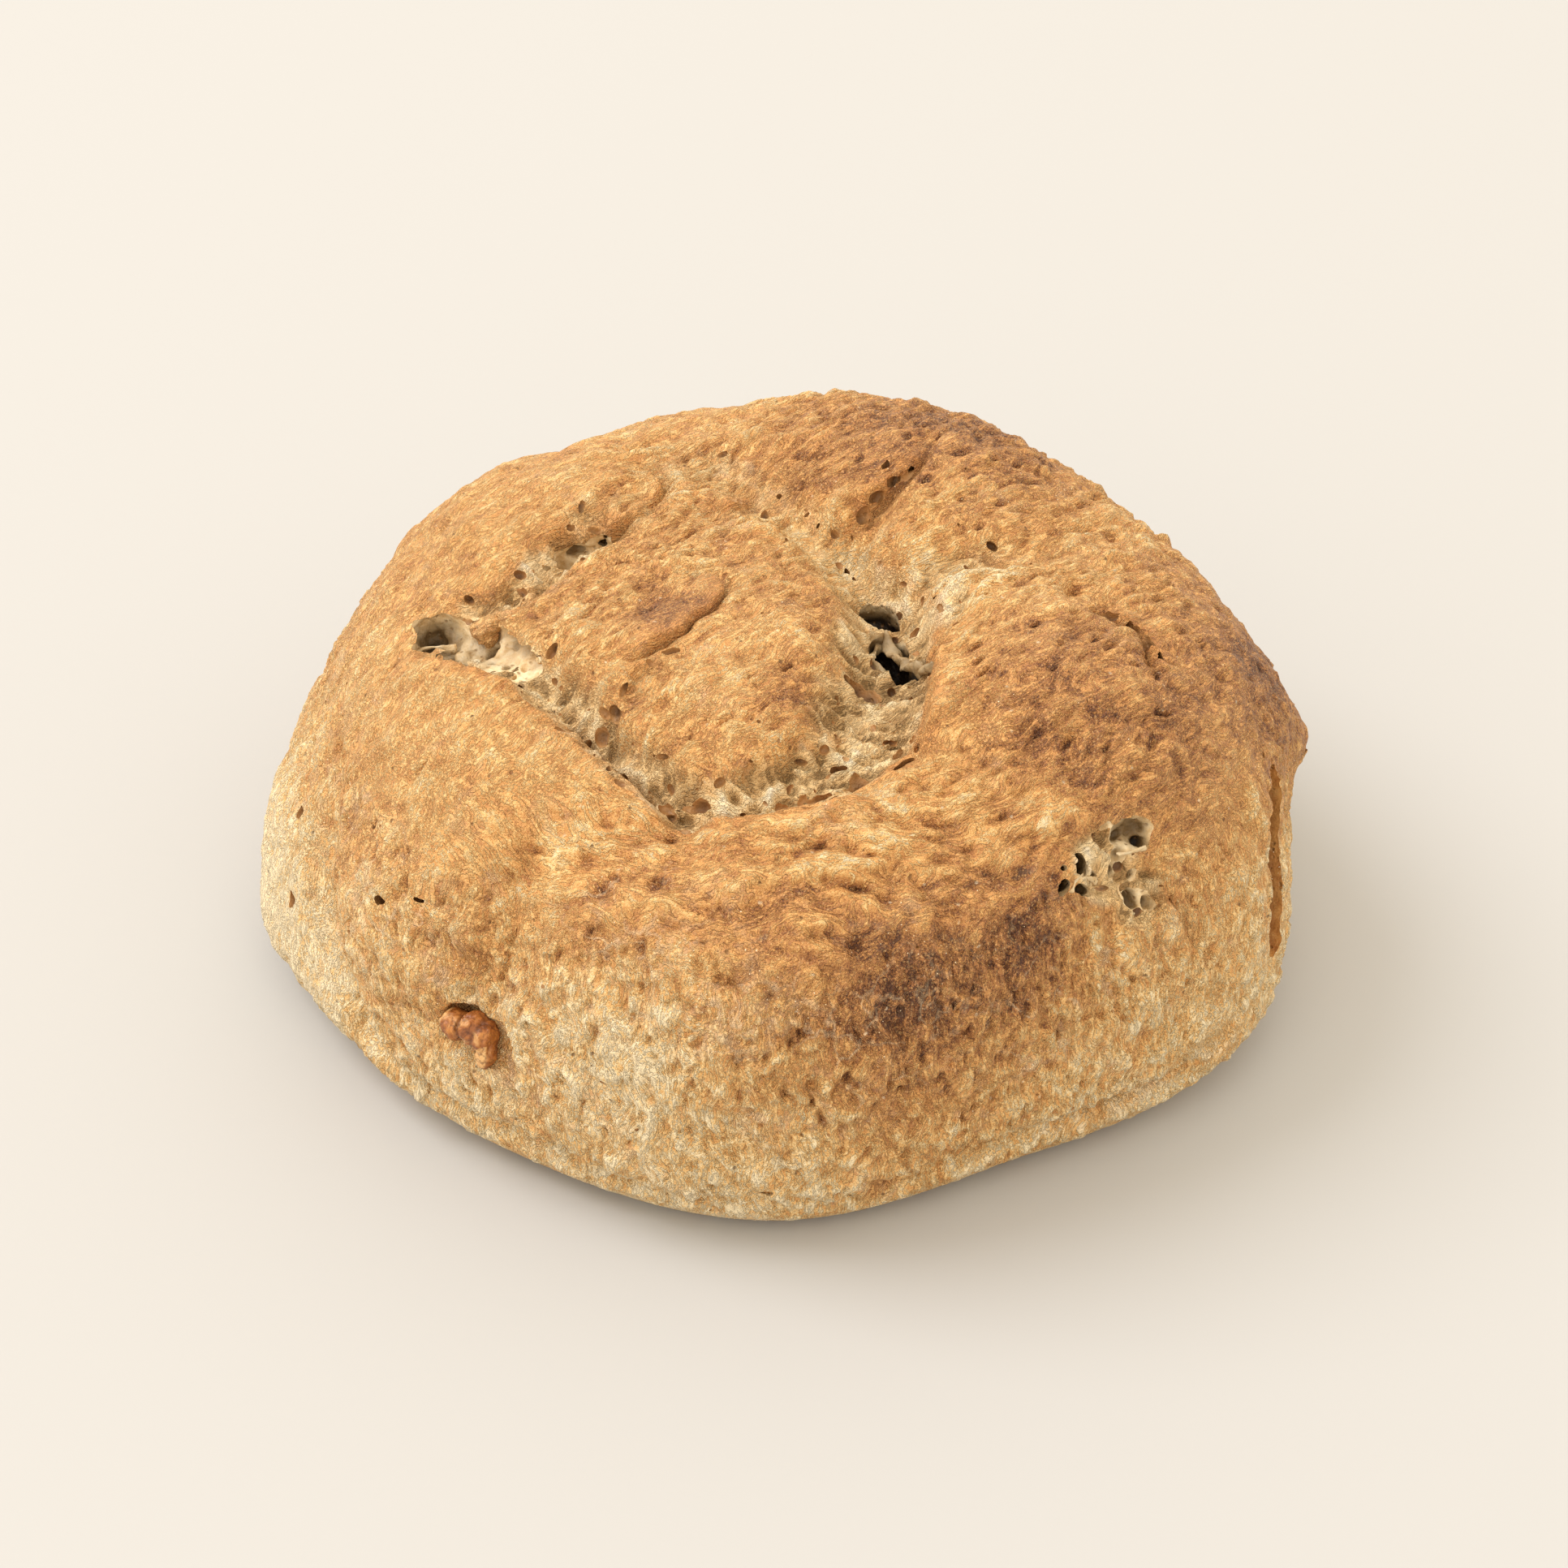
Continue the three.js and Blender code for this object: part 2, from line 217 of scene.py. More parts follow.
# ---- Folds, mounds and creases, as in the solids -----------------------------------------------------
VALLEY = [
    (-26, 44, 5, 2), (-14, 40, 6, 2.5), (-4, 30, 5.5, 4), (4, 20, 5.5, 5), (12, 10, 6, 6),
    (18, 1, 7.5, 8), (21, -8, 8, 9), (20, -19, 8.5, 9), (18, -32, 9, 8.5), (15, -45, 8.5, 8),
    (6, -54.5, 6.5, 7), (-4, -59, 4.8, 6), (-14, -59.5, 4.8, 6), (-23, -53, 4.5, 5.5),
    (-31, -43, 4.2, 5), (-39, -33, 4.5, 5), (-46, -24, 4.5, 4.5), (-53, -16, 5.5, 4),
    (-58, -7, 5, 3), (-49, -2, 4, 4), (-42, 7, 4.5, 4.5), (-36, 15, 5.5, 5), (-29, 23, 4.5, 4),
    (-24, 33, 4, 3),
]
CROWN_GROOVES = [
    [(20, 2, 6, 4), (28, 4, 6, 3), (44, 10, 6, 2.5), (62, 20, 6, 1.5)],
    [(14, 12, 3, 3), (19, 24, 3.5, 3), (29, 41, 2.5, 1.5)],
    [(55, -5, 2.5, 2), (66, -9, 3, 3), (71, -19, 2.5, 2)],
]
VALLEY_OPENNESS = [
    0, 0.25, 0.25, 0.2, 0.3, 0.6, 0.8, 0.95, 1, 1, 1, 1, 1, 1, 1, 1, 1, 1, 0.8, 0.8, 0.8, 0.8, 0.2, 0,
]
FRONT_FOLD = [(crown(-18, -66), 5, 3), (crown(-40, -62), 6, 4), (side(235, 52), 6, 3),
              (side(232, 38), 5, 3)]
SIDE_GROOVES = [
    [(196, 56, 4, 1), (200, 44, 5, 4), (206, 27, 5, 4), (214, 16, 4, 2)],
    [(212, 14, 2.5, 2), (229, 12, 3, 2.5), (245, 11, 3, 2.5), (262, 10, 3, 1.5),
     (288, 11, 3, 2.5), (306, 12, 3, 2.5), (322, 12, 3, 2)],
]
MOUNDS = [
    (crown(50, -30), 26, 6), (crown(30, 44), 26, 5), (crown(-48, 32), 24, 3),
    (crown(-10, -22), 24, 4), (crown(-60, -36), 22, 3), (side(278, 64), 26, 4),
    (side(300, 58), 18, 4), (side(217, 42), 17, 4), (side(187, 22), 24, 1.8),
    (side(184, 34), 8, 1.4), (side(180, 48), 10, -3.6), (side(338, 24), 22, 1.2),
    (side(350, 42), 14, -2), (side(1, 51), 11, 1.8), (side(1, 44.5), 5.5, 3),
    (side(54, 68), 15, -2.2), (side(96, 72), 10, -1.8), (side(122, 66), 11, -2.6),
]


def curve_through(points, closed, parts=8):
    """A smooth line through the points, with its share of the way along at each sample."""
    n = len(points)
    points = np.asarray(points, float)
    spans = n if closed else n - 1
    found = []
    for i in range(spans):
        keys = [(i + k) % n if closed else min(max(i + k, 0), n - 1) for k in (-1, 0, 1, 2)]
        a, b, c, d = points[keys]
        for t in np.arange(parts) / parts:
            turn = c - a + t * (2 * a - 5 * b + 4 * c - d + t * (3 * (b - c) + d - a))
            found.append(b + 0.5 * t * turn)
    if not closed:
        found.append(points[-1])
    return np.array(found)


def groove_route(steps, closed=False):
    """Samples of x, y, z, half width and depth along a groove given by its places."""
    return curve_through([[*place.at, width, depth] for place, width, depth in steps], closed)


valley_route = groove_route([(crown(x, y), w, d) for x, y, w, d in VALLEY], closed=True)
groove_routes = [valley_route]
groove_routes += [groove_route([(crown(x, y), w, d) for x, y, w, d in g]) for g in CROWN_GROOVES]
groove_routes += [groove_route(FRONT_FOLD)]
groove_routes += [groove_route([(side(a, z), w, d) for a, z, w, d in g]) for g in SIDE_GROOVES]


def groove_depth(points, route):
    depth_shade_colour = np.zeros(len(points))
    for x, y, z, width, depth in route:
        ratio = ((points - (x, y, z)) ** 2).sum(-1) / width**2
        depth_shade_colour = np.maximum(depth_shade_colour, depth / (1 + ratio**2))
    return depth_shade_colour


def nearness(points, route):
    """The least distance to a route, in its half widths there."""
    least = np.full(len(points), 99.0)
    for x, y, z, width, _ in route:
        least = np.minimum(least, np.sqrt(((points - (x, y, z)) ** 2).sum(-1)) / width)
    return least


def across_valley(points):
    """Distance from the valley's middle in half widths, plus on its outer side, and how open it is."""
    openness = curve_through([[value] for value in VALLEY_OPENNESS], closed=True)[:, 0]
    heading = np.roll(valley_route, -1, 0) - np.roll(valley_route, 1, 0)
    least = np.full(len(points), 99.0)
    hand = np.ones(len(points))
    share = np.zeros(len(points))
    for (x, y, z, width, _), (dx, dy, *_), open_here in zip(valley_route, heading, openness):
        away = points - (x, y, z)
        ratio = np.sqrt((away**2).sum(-1)) / width
        closer = ratio < least
        least[closer] = ratio[closer]
        hand[closer] = np.sign(away[closer, 1] * dx - away[closer, 0] * dy)
        share[closer] = open_here
    return least * hand, share


def swell(points, place, reach):
    return np.exp(-((points - place.at) ** 2).sum(-1) / reach**2)


# ---- The mesh of the crust ---------------------------------------------------------------------------
CRUST_EDGE = 0.62  # edge of the crust's triangles
BASE_EDGE = 4.5
FRONT_SHARE = 0.22  # how much finer the front is than the back


def ring_rows():
    """Sections and counts of the rings that make the loaf's mesh."""
    sections = np.linspace(0, 3, 30001)
    r, z = section_point(MEAN_RADIUS, 0, sections)
    steps = np.hypot(np.diff(r), np.diff(z))
    rows = []
    run = 0.0
    for i, step in enumerate(steps):
        section = sections[i + 1]
        size = CRUST_EDGE + (BASE_EDGE - CRUST_EDGE) * float(ease(section, 1.9, 2.12))
        run += step
        if run >= size * 0.866 and MEAN_RADIUS * BASE_SHARE * (3 - section) > size * 0.6:
            rows.append((section, max(6, round(2 * math.pi * r[i + 1] / size))))
            run = 0.0
    return rows


def ring_azimuths(count, shift):
    turn = (np.arange(count) + shift) / count * 2 * np.pi
    return turn + FRONT_SHARE * np.cos(turn)  # closest together round the front


def stitch(upper, lower, faces):
    """Joins two rings with different numbers of corners, stepping along the one that is behind."""
    first_u, count_u, shift_u = upper
    first_l, count_l, shift_l = lower
    i = 0
    j = 0
    while i < count_u or j < count_l:
        ahead = (i + 1 + shift_u) / count_u < (j + 1 + shift_l) / count_l
        if i < count_u and (j >= count_l or ahead):
            faces.append((first_u + i % count_u, first_l + j % count_l, first_u + (i + 1) % count_u))
            i += 1
        else:
            faces.append((first_u + i % count_u, first_l + j % count_l, first_l + (j + 1) % count_l))
            j += 1


def ring_mesh():
    """The plain form as arrays of points, normals, sections and faces."""
    points = [plain_points(0.0, 1e-4)[None]]
    normals = [np.array([[0, 0, 1.0]])]
    sections = [np.zeros(1)]
    faces = []
    rings = []
    first = 1
    for row, (section, count) in enumerate(ring_rows()):
        shift = (row % 2) / 2
        azimuth = ring_azimuths(count, shift)
        points.append(plain_points(azimuth, np.full(count, section)))
        normals.append(plain_normals(azimuth, np.full(count, section)))
        sections.append(np.full(count, section))
        rings.append((first, count, shift))
        first += count
    points.append(np.zeros((1, 3)))
    normals.append(np.array([[0, 0, -1.0]]))
    sections.append(np.full(1, 3.0))
    top_first, top_count, _ = rings[0]
    for i in range(top_count):
        faces.append((0, top_first + i, top_first + (i + 1) % top_count))
    for upper, lower in zip(rings, rings[1:]):
        stitch(upper, lower, faces)
    foot_first, foot_count, _ = rings[-1]
    for i in range(foot_count):
        faces.append((first, foot_first + (i + 1) % foot_count, foot_first + i))
    return np.concatenate(points), np.concatenate(normals), np.concatenate(sections), np.array(faces)


# ---- The crust's relief ------------------------------------------------------------------------------
# Torn edges: places along the lip, how far the lip stands up, how far the floor before it sinks, and
# how far the lip leans over the floor. The crust is on the left of the way the places run.
LIPS = [([place(a, b) for a, b in path], *sizes) for place, path, *sizes in (
    (crown, [(32, -15), (30, -24), (28.5, -32), (27.5, -42), (25.5, -53)], 1.6, 3.0, 2.0),
    (crown, [(21, -57.5), (10, -62), (0, -64), (-9, -63.5), (-18, -64.5)], 1.3, 2.2, 1.4),
    (crown, [(-17, -61.5), (-25, -55.5), (-31, -47), (-37.5, -38.5), (-44, -30.5)], 1.1, 2.0, 1.3),
    (crown, [(-43, -30), (-51, -27), (-57.5, -21.5), (-64, -15), (-68, -8)], 1.3, 0.7, 1.3),
    (crown, [(-48, 13), (-40.3, 16.5), (-32, 21.5), (-26, 26), (-22.8, 32), (-25, 39)], 2.0, 1.8, 1.8),
    (crown, [(-28.5, -28), (-23.5, -24.5), (-17.5, -18.5), (-12.2, -12.4), (-11.2, -8.4), (-14.6, -5.0),
             (-20, -3.2)], 3.4, 3.4, 2.4),
    (crown, [(-27, -38), (-25.5, -33), (-21, -28)], 0.7, 1.2, 0.5),
    (crown, [(-48, -7), (-46, -2), (-45, 4)], 0.9, 0.9, 0.7),
    (crown, [(54, -8), (61, -9.5), (66.5, -12), (69, -19), (67.5, -28)], 1.9, 2.6, 1.7),
    (crown, [(14, 20), (18, 26), (23, 31.5), (29, 39)], 1.4, 2.2, 1.2),
    (crown, [(-15, 23.5), (-10, 22.5), (-6, 27), (-4, 34)], 1.1, 1.0, 0.8),
    (side, [(262, 36), (264, 34.3), (267, 32), (269.5, 27), (273, 21)], 0.6, 0.5, 0.3),
    (side, [(280, 30), (281.5, 40), (283.5, 48)], 0.5, 0.2, 0.1),
    (side, [(323, 39), (321.4, 46), (320.5, 51), (317.5, 55)], 0.5, 1.1, 0.4),
    (side, [(208, 22), (203, 36), (200, 52)], 0.8, 0.8, 0.5),
    (side, [(332, 20), (324, 14), (312, 11), (300, 11)], 0.6, 1.0, 0.4),
    (side, [(334, 22), (335, 32), (336.5, 42), (339, 49), (343, 54.5)], 0.7, 0.3, 0.3),
)]

# Small hollows: place, half width, half height, depth.
DENTS = [
    (side(228.2, 45.5), 2.8, 1.5, 1.4), (side(231.6, 44.6), 2.2, 1.6, 1.6), (side(226, 46.5), 3.6, 1.2, 0.8),
    (side(315.5, 62.5), 8.5, 6.5, 2.4), (side(317.5, 54.5), 4.5, 4.0, 1.6), (side(325, 38), 2.4, 2.4, 1.0),
    (side(283, 13), 4.5, 1.6, 1.6), (crown(30, -5), 2.4, 2.8, 0.9), (crown(32, -14), 2.4, 4.0, 1.2),
    (side(221, 52), 4.0, 1.4, 1.2), (side(226, 53.5), 2.5, 1.4, 1.0), (side(343, 16), 3.2, 2.2, 1.2),
    (side(193, 57), 0.9, 2.6, 1.0), (side(180.5, 58), 0.9, 2.4, 1.0), (crown(8, 37.8), 4.0, 0.7, 0.9),
    (crown(14.2, 22.5), 0.7, 3.4, 1.0), (crown(-40, -21.7), 1.4, 2.6, 1.1),
    (side(217.2, 48.5), 1.6, 1.4, 1.0),
]
# Patches of open crumb and of veined skin: place, reach and strength. Floured ones: place and reach.
OPEN_PATCHES = [(side(314.5, 62), 8.5, 0.9), (side(317.5, 54.5), 6.5, 0.9), (crown(31, -9), 6.0, 0.7),
                (crown(-44, 4), 5.5, 0.7)]
VEINED = [(side(217, 45), 14, 1.0), (side(243, 36), 14, 0.8), (side(258, 50), 16, 0.8),
          (side(280, 44), 16, 0.7), (side(305, 40), 18, 0.7), (crown(-30, -72), 12, 0.5)]
FLOURED = [(side(255, 56), 10), (side(263, 55), 8), (side(218, 44), 13), (side(240, 30), 14),
           (side(252, 42), 14), (side(190, 34), 28), (side(228, 18), 14)]
CRUST_POINT = side(1, 44)
LIP_REACH = 9.0  # how far from a lip the crust still moves
TOP_START = 84.5  # height over which the relief is pressed down,
TOP_ROOM = 2.6  # and how much higher than that it may still reach
RING_LENGTH = 80  # radius at which a pattern drawn out round the front keeps its length


def flows(points):
    """Masks for the three ways the skin was stretched: down the wall, round the front, and across."""
    wander = noise(points, 22, 5) * 5
    wall = 1 - ease(points[:, 2] + wander, 54, 68)
    front = (1 - wall) * ease(-points[:, 1] + wander, 44, 62)
    return wall, front, 1 - wall - front


def drawn_out(points, width, length, seed, pattern=noise):
    """A pattern drawn out along the way the skin was stretched."""
    bend = np.stack([noise(points, 13, seed + k) for k in (1, 2, 3)], -1) * 2.6
    bend += np.stack([noise(points, 5, seed + k) for k in (4, 5, 6)], -1) * 0.9
    p = points + bend
    wall, front, across = flows(points)
    along = (p[:, 0] + p[:, 1]) / math.sqrt(2)
    over = (p[:, 1] - p[:, 0]) / math.sqrt(2)
    radius = np.hypot(p[:, 0], p[:, 1]) + 1e-6
    diagonal = pattern(np.stack([along, over, p[:, 2]], -1), (length, width, 2 * width), seed)
    turned = np.stack([radius, p[:, 0] / radius * RING_LENGTH, p[:, 1] / radius * RING_LENGTH], -1)
    ringed = pattern(turned, (width, length, length), seed + 11)
    upright = pattern(p, (width, width, length), seed + 23)
    return wall * upright + front * ringed + across * diagonal


def lean_over(points, normals, lip):
    """How a torn lip moves the points near it: up on its own side, down and under on the other. It also gives
    masks of the lip's edge, for its browning and painted glow, and of the floor before it, for painted shade
    under the lip.
    """
    places, rise, sink, lean = lip
    line = curve_through([[*p.at, *p.out] for p in places], False, parts=12)
    centre = line[:, :3]
    around_it = (points > centre.min(0) - LIP_REACH).all(1) & (points < centre.max(0) + LIP_REACH).all(1)
    chosen = np.flatnonzero(around_it)
    near = np.full(len(chosen), 1e9)
    which = np.zeros(len(chosen), int)
    for i, at in enumerate(centre):
        d = ((points[chosen] - at) ** 2).sum(-1)
        closer = d < near
        near[closer] = d[closer]
        which[closer] = i
    moved = np.zeros_like(points)
    edge = np.zeros(len(points))
    floor = np.zeros(len(points))
    which = which[near < LIP_REACH**2]
    chosen = chosen[near < LIP_REACH**2]
    tangent = np.gradient(centre, axis=0)
    tangent /= np.linalg.norm(tangent, axis=1, keepdims=True)
    across = np.cross(line[:, 3:], tangent)
    across /= np.linalg.norm(across, axis=1, keepdims=True)
    away = points[chosen] - centre[which]
    s = (away * across[which]).sum(-1) + noise(points[chosen], 6.0, 77) * 1.1
    s += noise(points[chosen], 2.4, 78) * 0.3
    past_end = np.abs((away * tangent[which]).sum(-1))
    share = which / (len(centre) - 1)
    fade = ease(share, 0, 0.22) * (1 - ease(share, 0.78, 1)) * np.exp(-((past_end / 2.5) ** 2))
    fade *= 0.75 + 0.5 * noise(points[chosen], 7.0, 79)
    on_crust = ease(s, -0.8, 0.8)
    upper = np.exp(-((s / 4.2) ** 2)) * on_crust
    lower = np.exp(-(((s + 1.4) / 2.4) ** 2)) * (1 - on_crust)
    height = (rise * upper - sink * lower) * fade
    push = -lean * np.exp(-(((s - 0.4) / 1.7) ** 2)) * fade
    moved[chosen] = normals[chosen] * height[:, None] + across[which] * push[:, None]
    edge[chosen] = fade * np.exp(-(((s - 0.7) / 1.1) ** 2)) * min(1, rise)
    floor[chosen] = lower * fade * min(1, sink)
    return moved, edge, floor


# How brown the crust is: a place, a reach and what it adds.
BROWNING = [
    (crown(24, 42), 24, 0.29), (crown(3, 32), 11, 0.10), (crown(45, 52), 20, 0.18),
    (crown(48, -31), 18, 0.22), (crown(74, -14), 18, 0.14), (crown(70, -38), 13, 0.18),
    (crown(-14.5, -13), 6.5, 0.20), (crown(-21.5, -17), 6, 0.32),
    (crown(-26, -6), 8, 0.12), (crown(3, -37), 6.5, 0.20), (side(285, 57), 12, 0.24),
    (side(297, 61), 10, 0.15), (side(272, 66), 15, 0.16), (side(286, 46), 14, 0.14),
    (side(300, 45), 12, 0.10), (side(315, 72), 16, 0.16), (side(187, 25), 26, -0.34),
    (side(203, 14), 14, -0.14), (side(262, 14), 24, -0.12), (side(326, 23), 20, -0.10),
    (side(340, 35), 16, -0.12), (side(217, 47), 14, -0.06), (side(283, 12), 4, 0.35),
    (side(228, 45), 5, 0.16), (side(232, 46), 4, 0.14), (crown(-30, 50), 18, 0.06),
    (crown(14, 12), 9, -0.18), (crown(36, 2), 12, -0.18), (crown(-14, 40), 11, -0.12),
    (crown(0, 22), 9, -0.10), (side(357, 61), 20, 0.26), (side(10, 62), 22, 0.14),
    (crown(-58, 8), 30, 0.05), (side(302, 58), 9, 0.26), (side(250, 64), 10, 0.15),
    (side(285, 34), 26, 0.13), (crown(3, -3), 9, 0.15),
    (side(254, 42), 15, -0.26), (side(235, 40), 13, -0.10), (side(232, 20), 14, -0.08),
]


def browning(points):
    z = points[:, 2]
    level = 0.20 + 0.22 * ease(z + noise(points, 16, 40) * 5, 6, 56)
    for place, reach, amount in BROWNING:
        level += amount * swell(points, place, reach)
    return level + 0.05 * noise(points, 17, 41) + 0.04 * noise(points, 6.5, 42)


def crust_relief(points, normals, sections):
    """Where each point of the plain form goes, and what its skin is like there."""
    kept = 1 - ease(sections, 1.35, 1.95)
    height = np.zeros(len(points))
    for place, reach, rise in MOUNDS:
        height += rise * swell(points, place, reach)
    for route in groove_routes:
        height -= groove_depth(points, route)

    wall, front, across = flows(points)
    broad = drawn_out(points, 4.4, 15, 52)
    medium = drawn_out(points, 2.5, 9, 57)
    fine = drawn_out(points, 1.4, 5, 63)
    holes = drawn_out(points, 2.2, 5.5, 74, pits)
    rolls = 2.4 * np.abs(broad) - 0.5  # rounded folds with sharp creases between them
    folds = 2.4 * np.abs(medium) - 0.5
    threads = 0.5 - 2.4 * np.abs(fine)  # thin raised lines
    calm = (1 - wall) * ease(noise(points, 20, 44) * 8 - points[:, 0], -6, 14)
    calm *= ease(points[:, 1], -66, -50)
    pale_side = swell(points, side(187, 30), 42)

    over, openness = across_valley(points)
    calm *= ease(over, 0.8, 1.8)
    rough = (1 - 0.6 * calm) * (1 - 0.6 * wall * pale_side) * (1 - 0.6 * ease(points[:, 0], 62, 92))
    ragged = noise(points, 6, 60) * 0.2 + noise(points, 2.6, 61) * 0.1
    past = over + ragged
    torn = (1 - ease(past, 0.92, 1.06)) * (1 - ease(-past + 0.6 * broad + 0.3 * medium, 0.65, 1.3))
    torn *= openness
    branch = nearness(points, groove_routes[1]) + ragged
    torn = np.maximum(torn, 0.6 * (1 - ease(branch, 0.3, 0.9)) * (1 - ease(points[:, 0], 34, 50)))
    for place, reach, share in OPEN_PATCHES:
        inside = swell(points, place, reach) + ragged * 0.5
        torn = np.maximum(torn, share * ease(inside, 0.4, 0.65))
    torn = np.clip(torn, 0, 1)
    rim = np.exp(-(((past - 1.04) / 0.12) ** 2)) * openness

    lumps = noise(points, 19, 50) * 1.0 + noise(points, 8.0, 51) * 0.6
    smooth = 0.45 + 0.55 * ease(points[:, 2], 16, 46)
    rolled = (0.5 + 0.6 * front + 0.3 * across - 0.3 * calm) * smooth * (1 - 0.75 * torn)
    rolled *= 1 - 0.5 * ease(points[:, 0], 62, 92)
    blobs = ease(noise(points, (2.7, 2.7, 3.4), 76) + 0.3 * noise(points, 1.4, 79), 0.1, 0.4)
    blobs *= wall * (1 - 0.8 * pale_side)
    closed = 1 - 0.6 * torn
    crust = lumps + rolls * rolled + rough * closed * (folds * 0.5 + threads * 0.42 - holes * 1.2)
    crust += blobs * 0.5 + rough_noise(points, 3.2, 66, 2) * 0.22
    hollows = noise(points, 8.5, 71) * 1.4 + noise(points, 4.6, 72) * 0.8
    webs = np.exp(-((noise(points, 6.2, 73) / 0.09) ** 2)) * 1.0
    cells, _ = bubbles(points, 3.6, 75)
    crumb = hollows + webs + 1.4 * ease(cells, 0.12, 0.75) + 0.4 * threads - 2.1
    height += crust * kept + torn * crumb + rim * 0.6
    for place, wide, tall, depth in DENTS:
        q = place.local(points)
        inside = (q[:, 0] / wide) ** 2 + (q[:, 1] / tall) ** 2 + (q[:, 2] / 8) ** 2
        height -= depth * np.exp(-inside)
    moved = points + normals * (height * kept)[:, None]

    edge = rim * 0.8
    # Mask of the sunk floor before each lip, for painted shade under the lip.
    floor = np.zeros(len(points))
    for lip in LIPS:
        shift, lip_edge_bake_and_glow, under_lip_shade = lean_over(points, normals, lip)
        moved += shift * kept[:, None]
        edge = np.maximum(edge, lip_edge_bake_and_glow)
        floor = np.maximum(floor, under_lip_shade)
    q = CRUST_POINT.local(points)
    spread_out = (q[:, 0] / 3.6) ** 2 + (q[:, 1] / np.where(q[:, 1] > 0, 3.6, 1.2)) ** 2
    spur = np.exp(-spread_out)[:, None]
    moved -= CRUST_POINT.out * (0.9 * spur) + CRUST_POINT.up * (2.8 * spur)
    too_high = np.maximum(moved[:, 2] - TOP_START, 0)
    moved[:, 2] += TOP_ROOM * np.tanh(too_high / TOP_ROOM) - too_high
    wrinkle = rough_noise(points, 9, 90, 2) * 0.25 + 0.25
    lifted = np.maximum(moved[:, 2], 0) + wrinkle * (1 - kept)
    moved[:, 2] = np.where(sections > 1.9, lifted, np.maximum(moved[:, 2], 0))

    flour = ease(noise(points, 9, 95) + 0.6 * noise(points, 3.5, 96), 0.1, 0.9)
    flour *= 0.35 + 0.4 * wall
    for place, reach in FLOURED:
        flour = np.maximum(flour, 0.75 * swell(points, place, reach) * ease(noise(points, 5, 97), -0.3, 0.4))
    veins = np.zeros(len(points))
    for place, reach, share in VEINED:
        veins += share * swell(points, place, reach)
    raised = 0.5 * rolls * (0.6 + front) + rough * (0.55 * folds + 0.45 * threads - 1.1 * holes)
    raised += 0.7 * blobs - 0.25 * wall
    tone = noise(points, 4.0, 101) + 0.7 * noise(points, 2.0, 102)
    webby = ease(noise(points, 10, 103) + 0.5 * noise(points, 4, 104), -0.15, 0.45) * (1 - 0.5 * calm)
    skin = {
        # Browning level: real browning, plus painted shade, browner in the relief's recesses and paler on its
        # ridges.
        "bake": browning(points) - 0.22 * raised - 0.03 * lumps + 0.11 * tone - 0.02 * calm,
        "raised": raised, "crumb": crumb, "torn": torn, "edge": edge, "floor": floor,
        "wall": wall, "front": front, "flour": flour, "veins": np.clip(veins, 0, 1), "tone": tone,
        "webby": webby, "calm": calm, "base": ease(sections, 1.9, 2.02),
    }
    return moved, skin


# ---- Meshes from arrays and from distances -----------------------------------------------------------
def add_object(name, data):
    thing = bpy.data.objects.new(name, data)
    scene.collection.objects.link(thing)
    return thing


def mesh_object(name, points, faces, materials=()):
    """A mesh object at the origin. Points are in millimetres."""
    mesh = bpy.data.meshes.new(name)
    faces = faces.tolist() if isinstance(faces, np.ndarray) else [[int(i) for i in f] for f in faces]
    mesh.from_pydata((np.asarray(points) * MM).tolist(), [], faces)
    mesh.update()
    for material in materials:
        mesh.materials.append(material)
    return add_object(name, mesh)


def set_attribute(mesh, name, values):
    found = mesh.attributes.get(name)
    if found is None:
        found = mesh.attributes.new(name, "FLOAT", "POINT")
    found.data.foreach_set("value", np.asarray(values, np.float32))


def read_all(items, value, kind=np.int32, width=1):
    """One value of every item, as an array."""
    found = np.empty(len(items) * width, kind)
    items.foreach_get(value, found)
    return found if width == 1 else found.reshape(-1, width)


def vertex_array(mesh):
    return read_all(mesh.vertices, "co", np.float32, 3).astype(float) / MM


def evaluated_mesh(thing):
    """The mesh that a thing has once its modifiers are worked out."""
    bpy.context.view_layer.update()
    graph = bpy.context.evaluated_depsgraph_get()
    return bpy.data.meshes.new_from_object(thing.evaluated_get(graph))


def change_mesh(thing, mesh):
    old = thing.data
    thing.data = mesh
    bpy.data.meshes.remove(old)


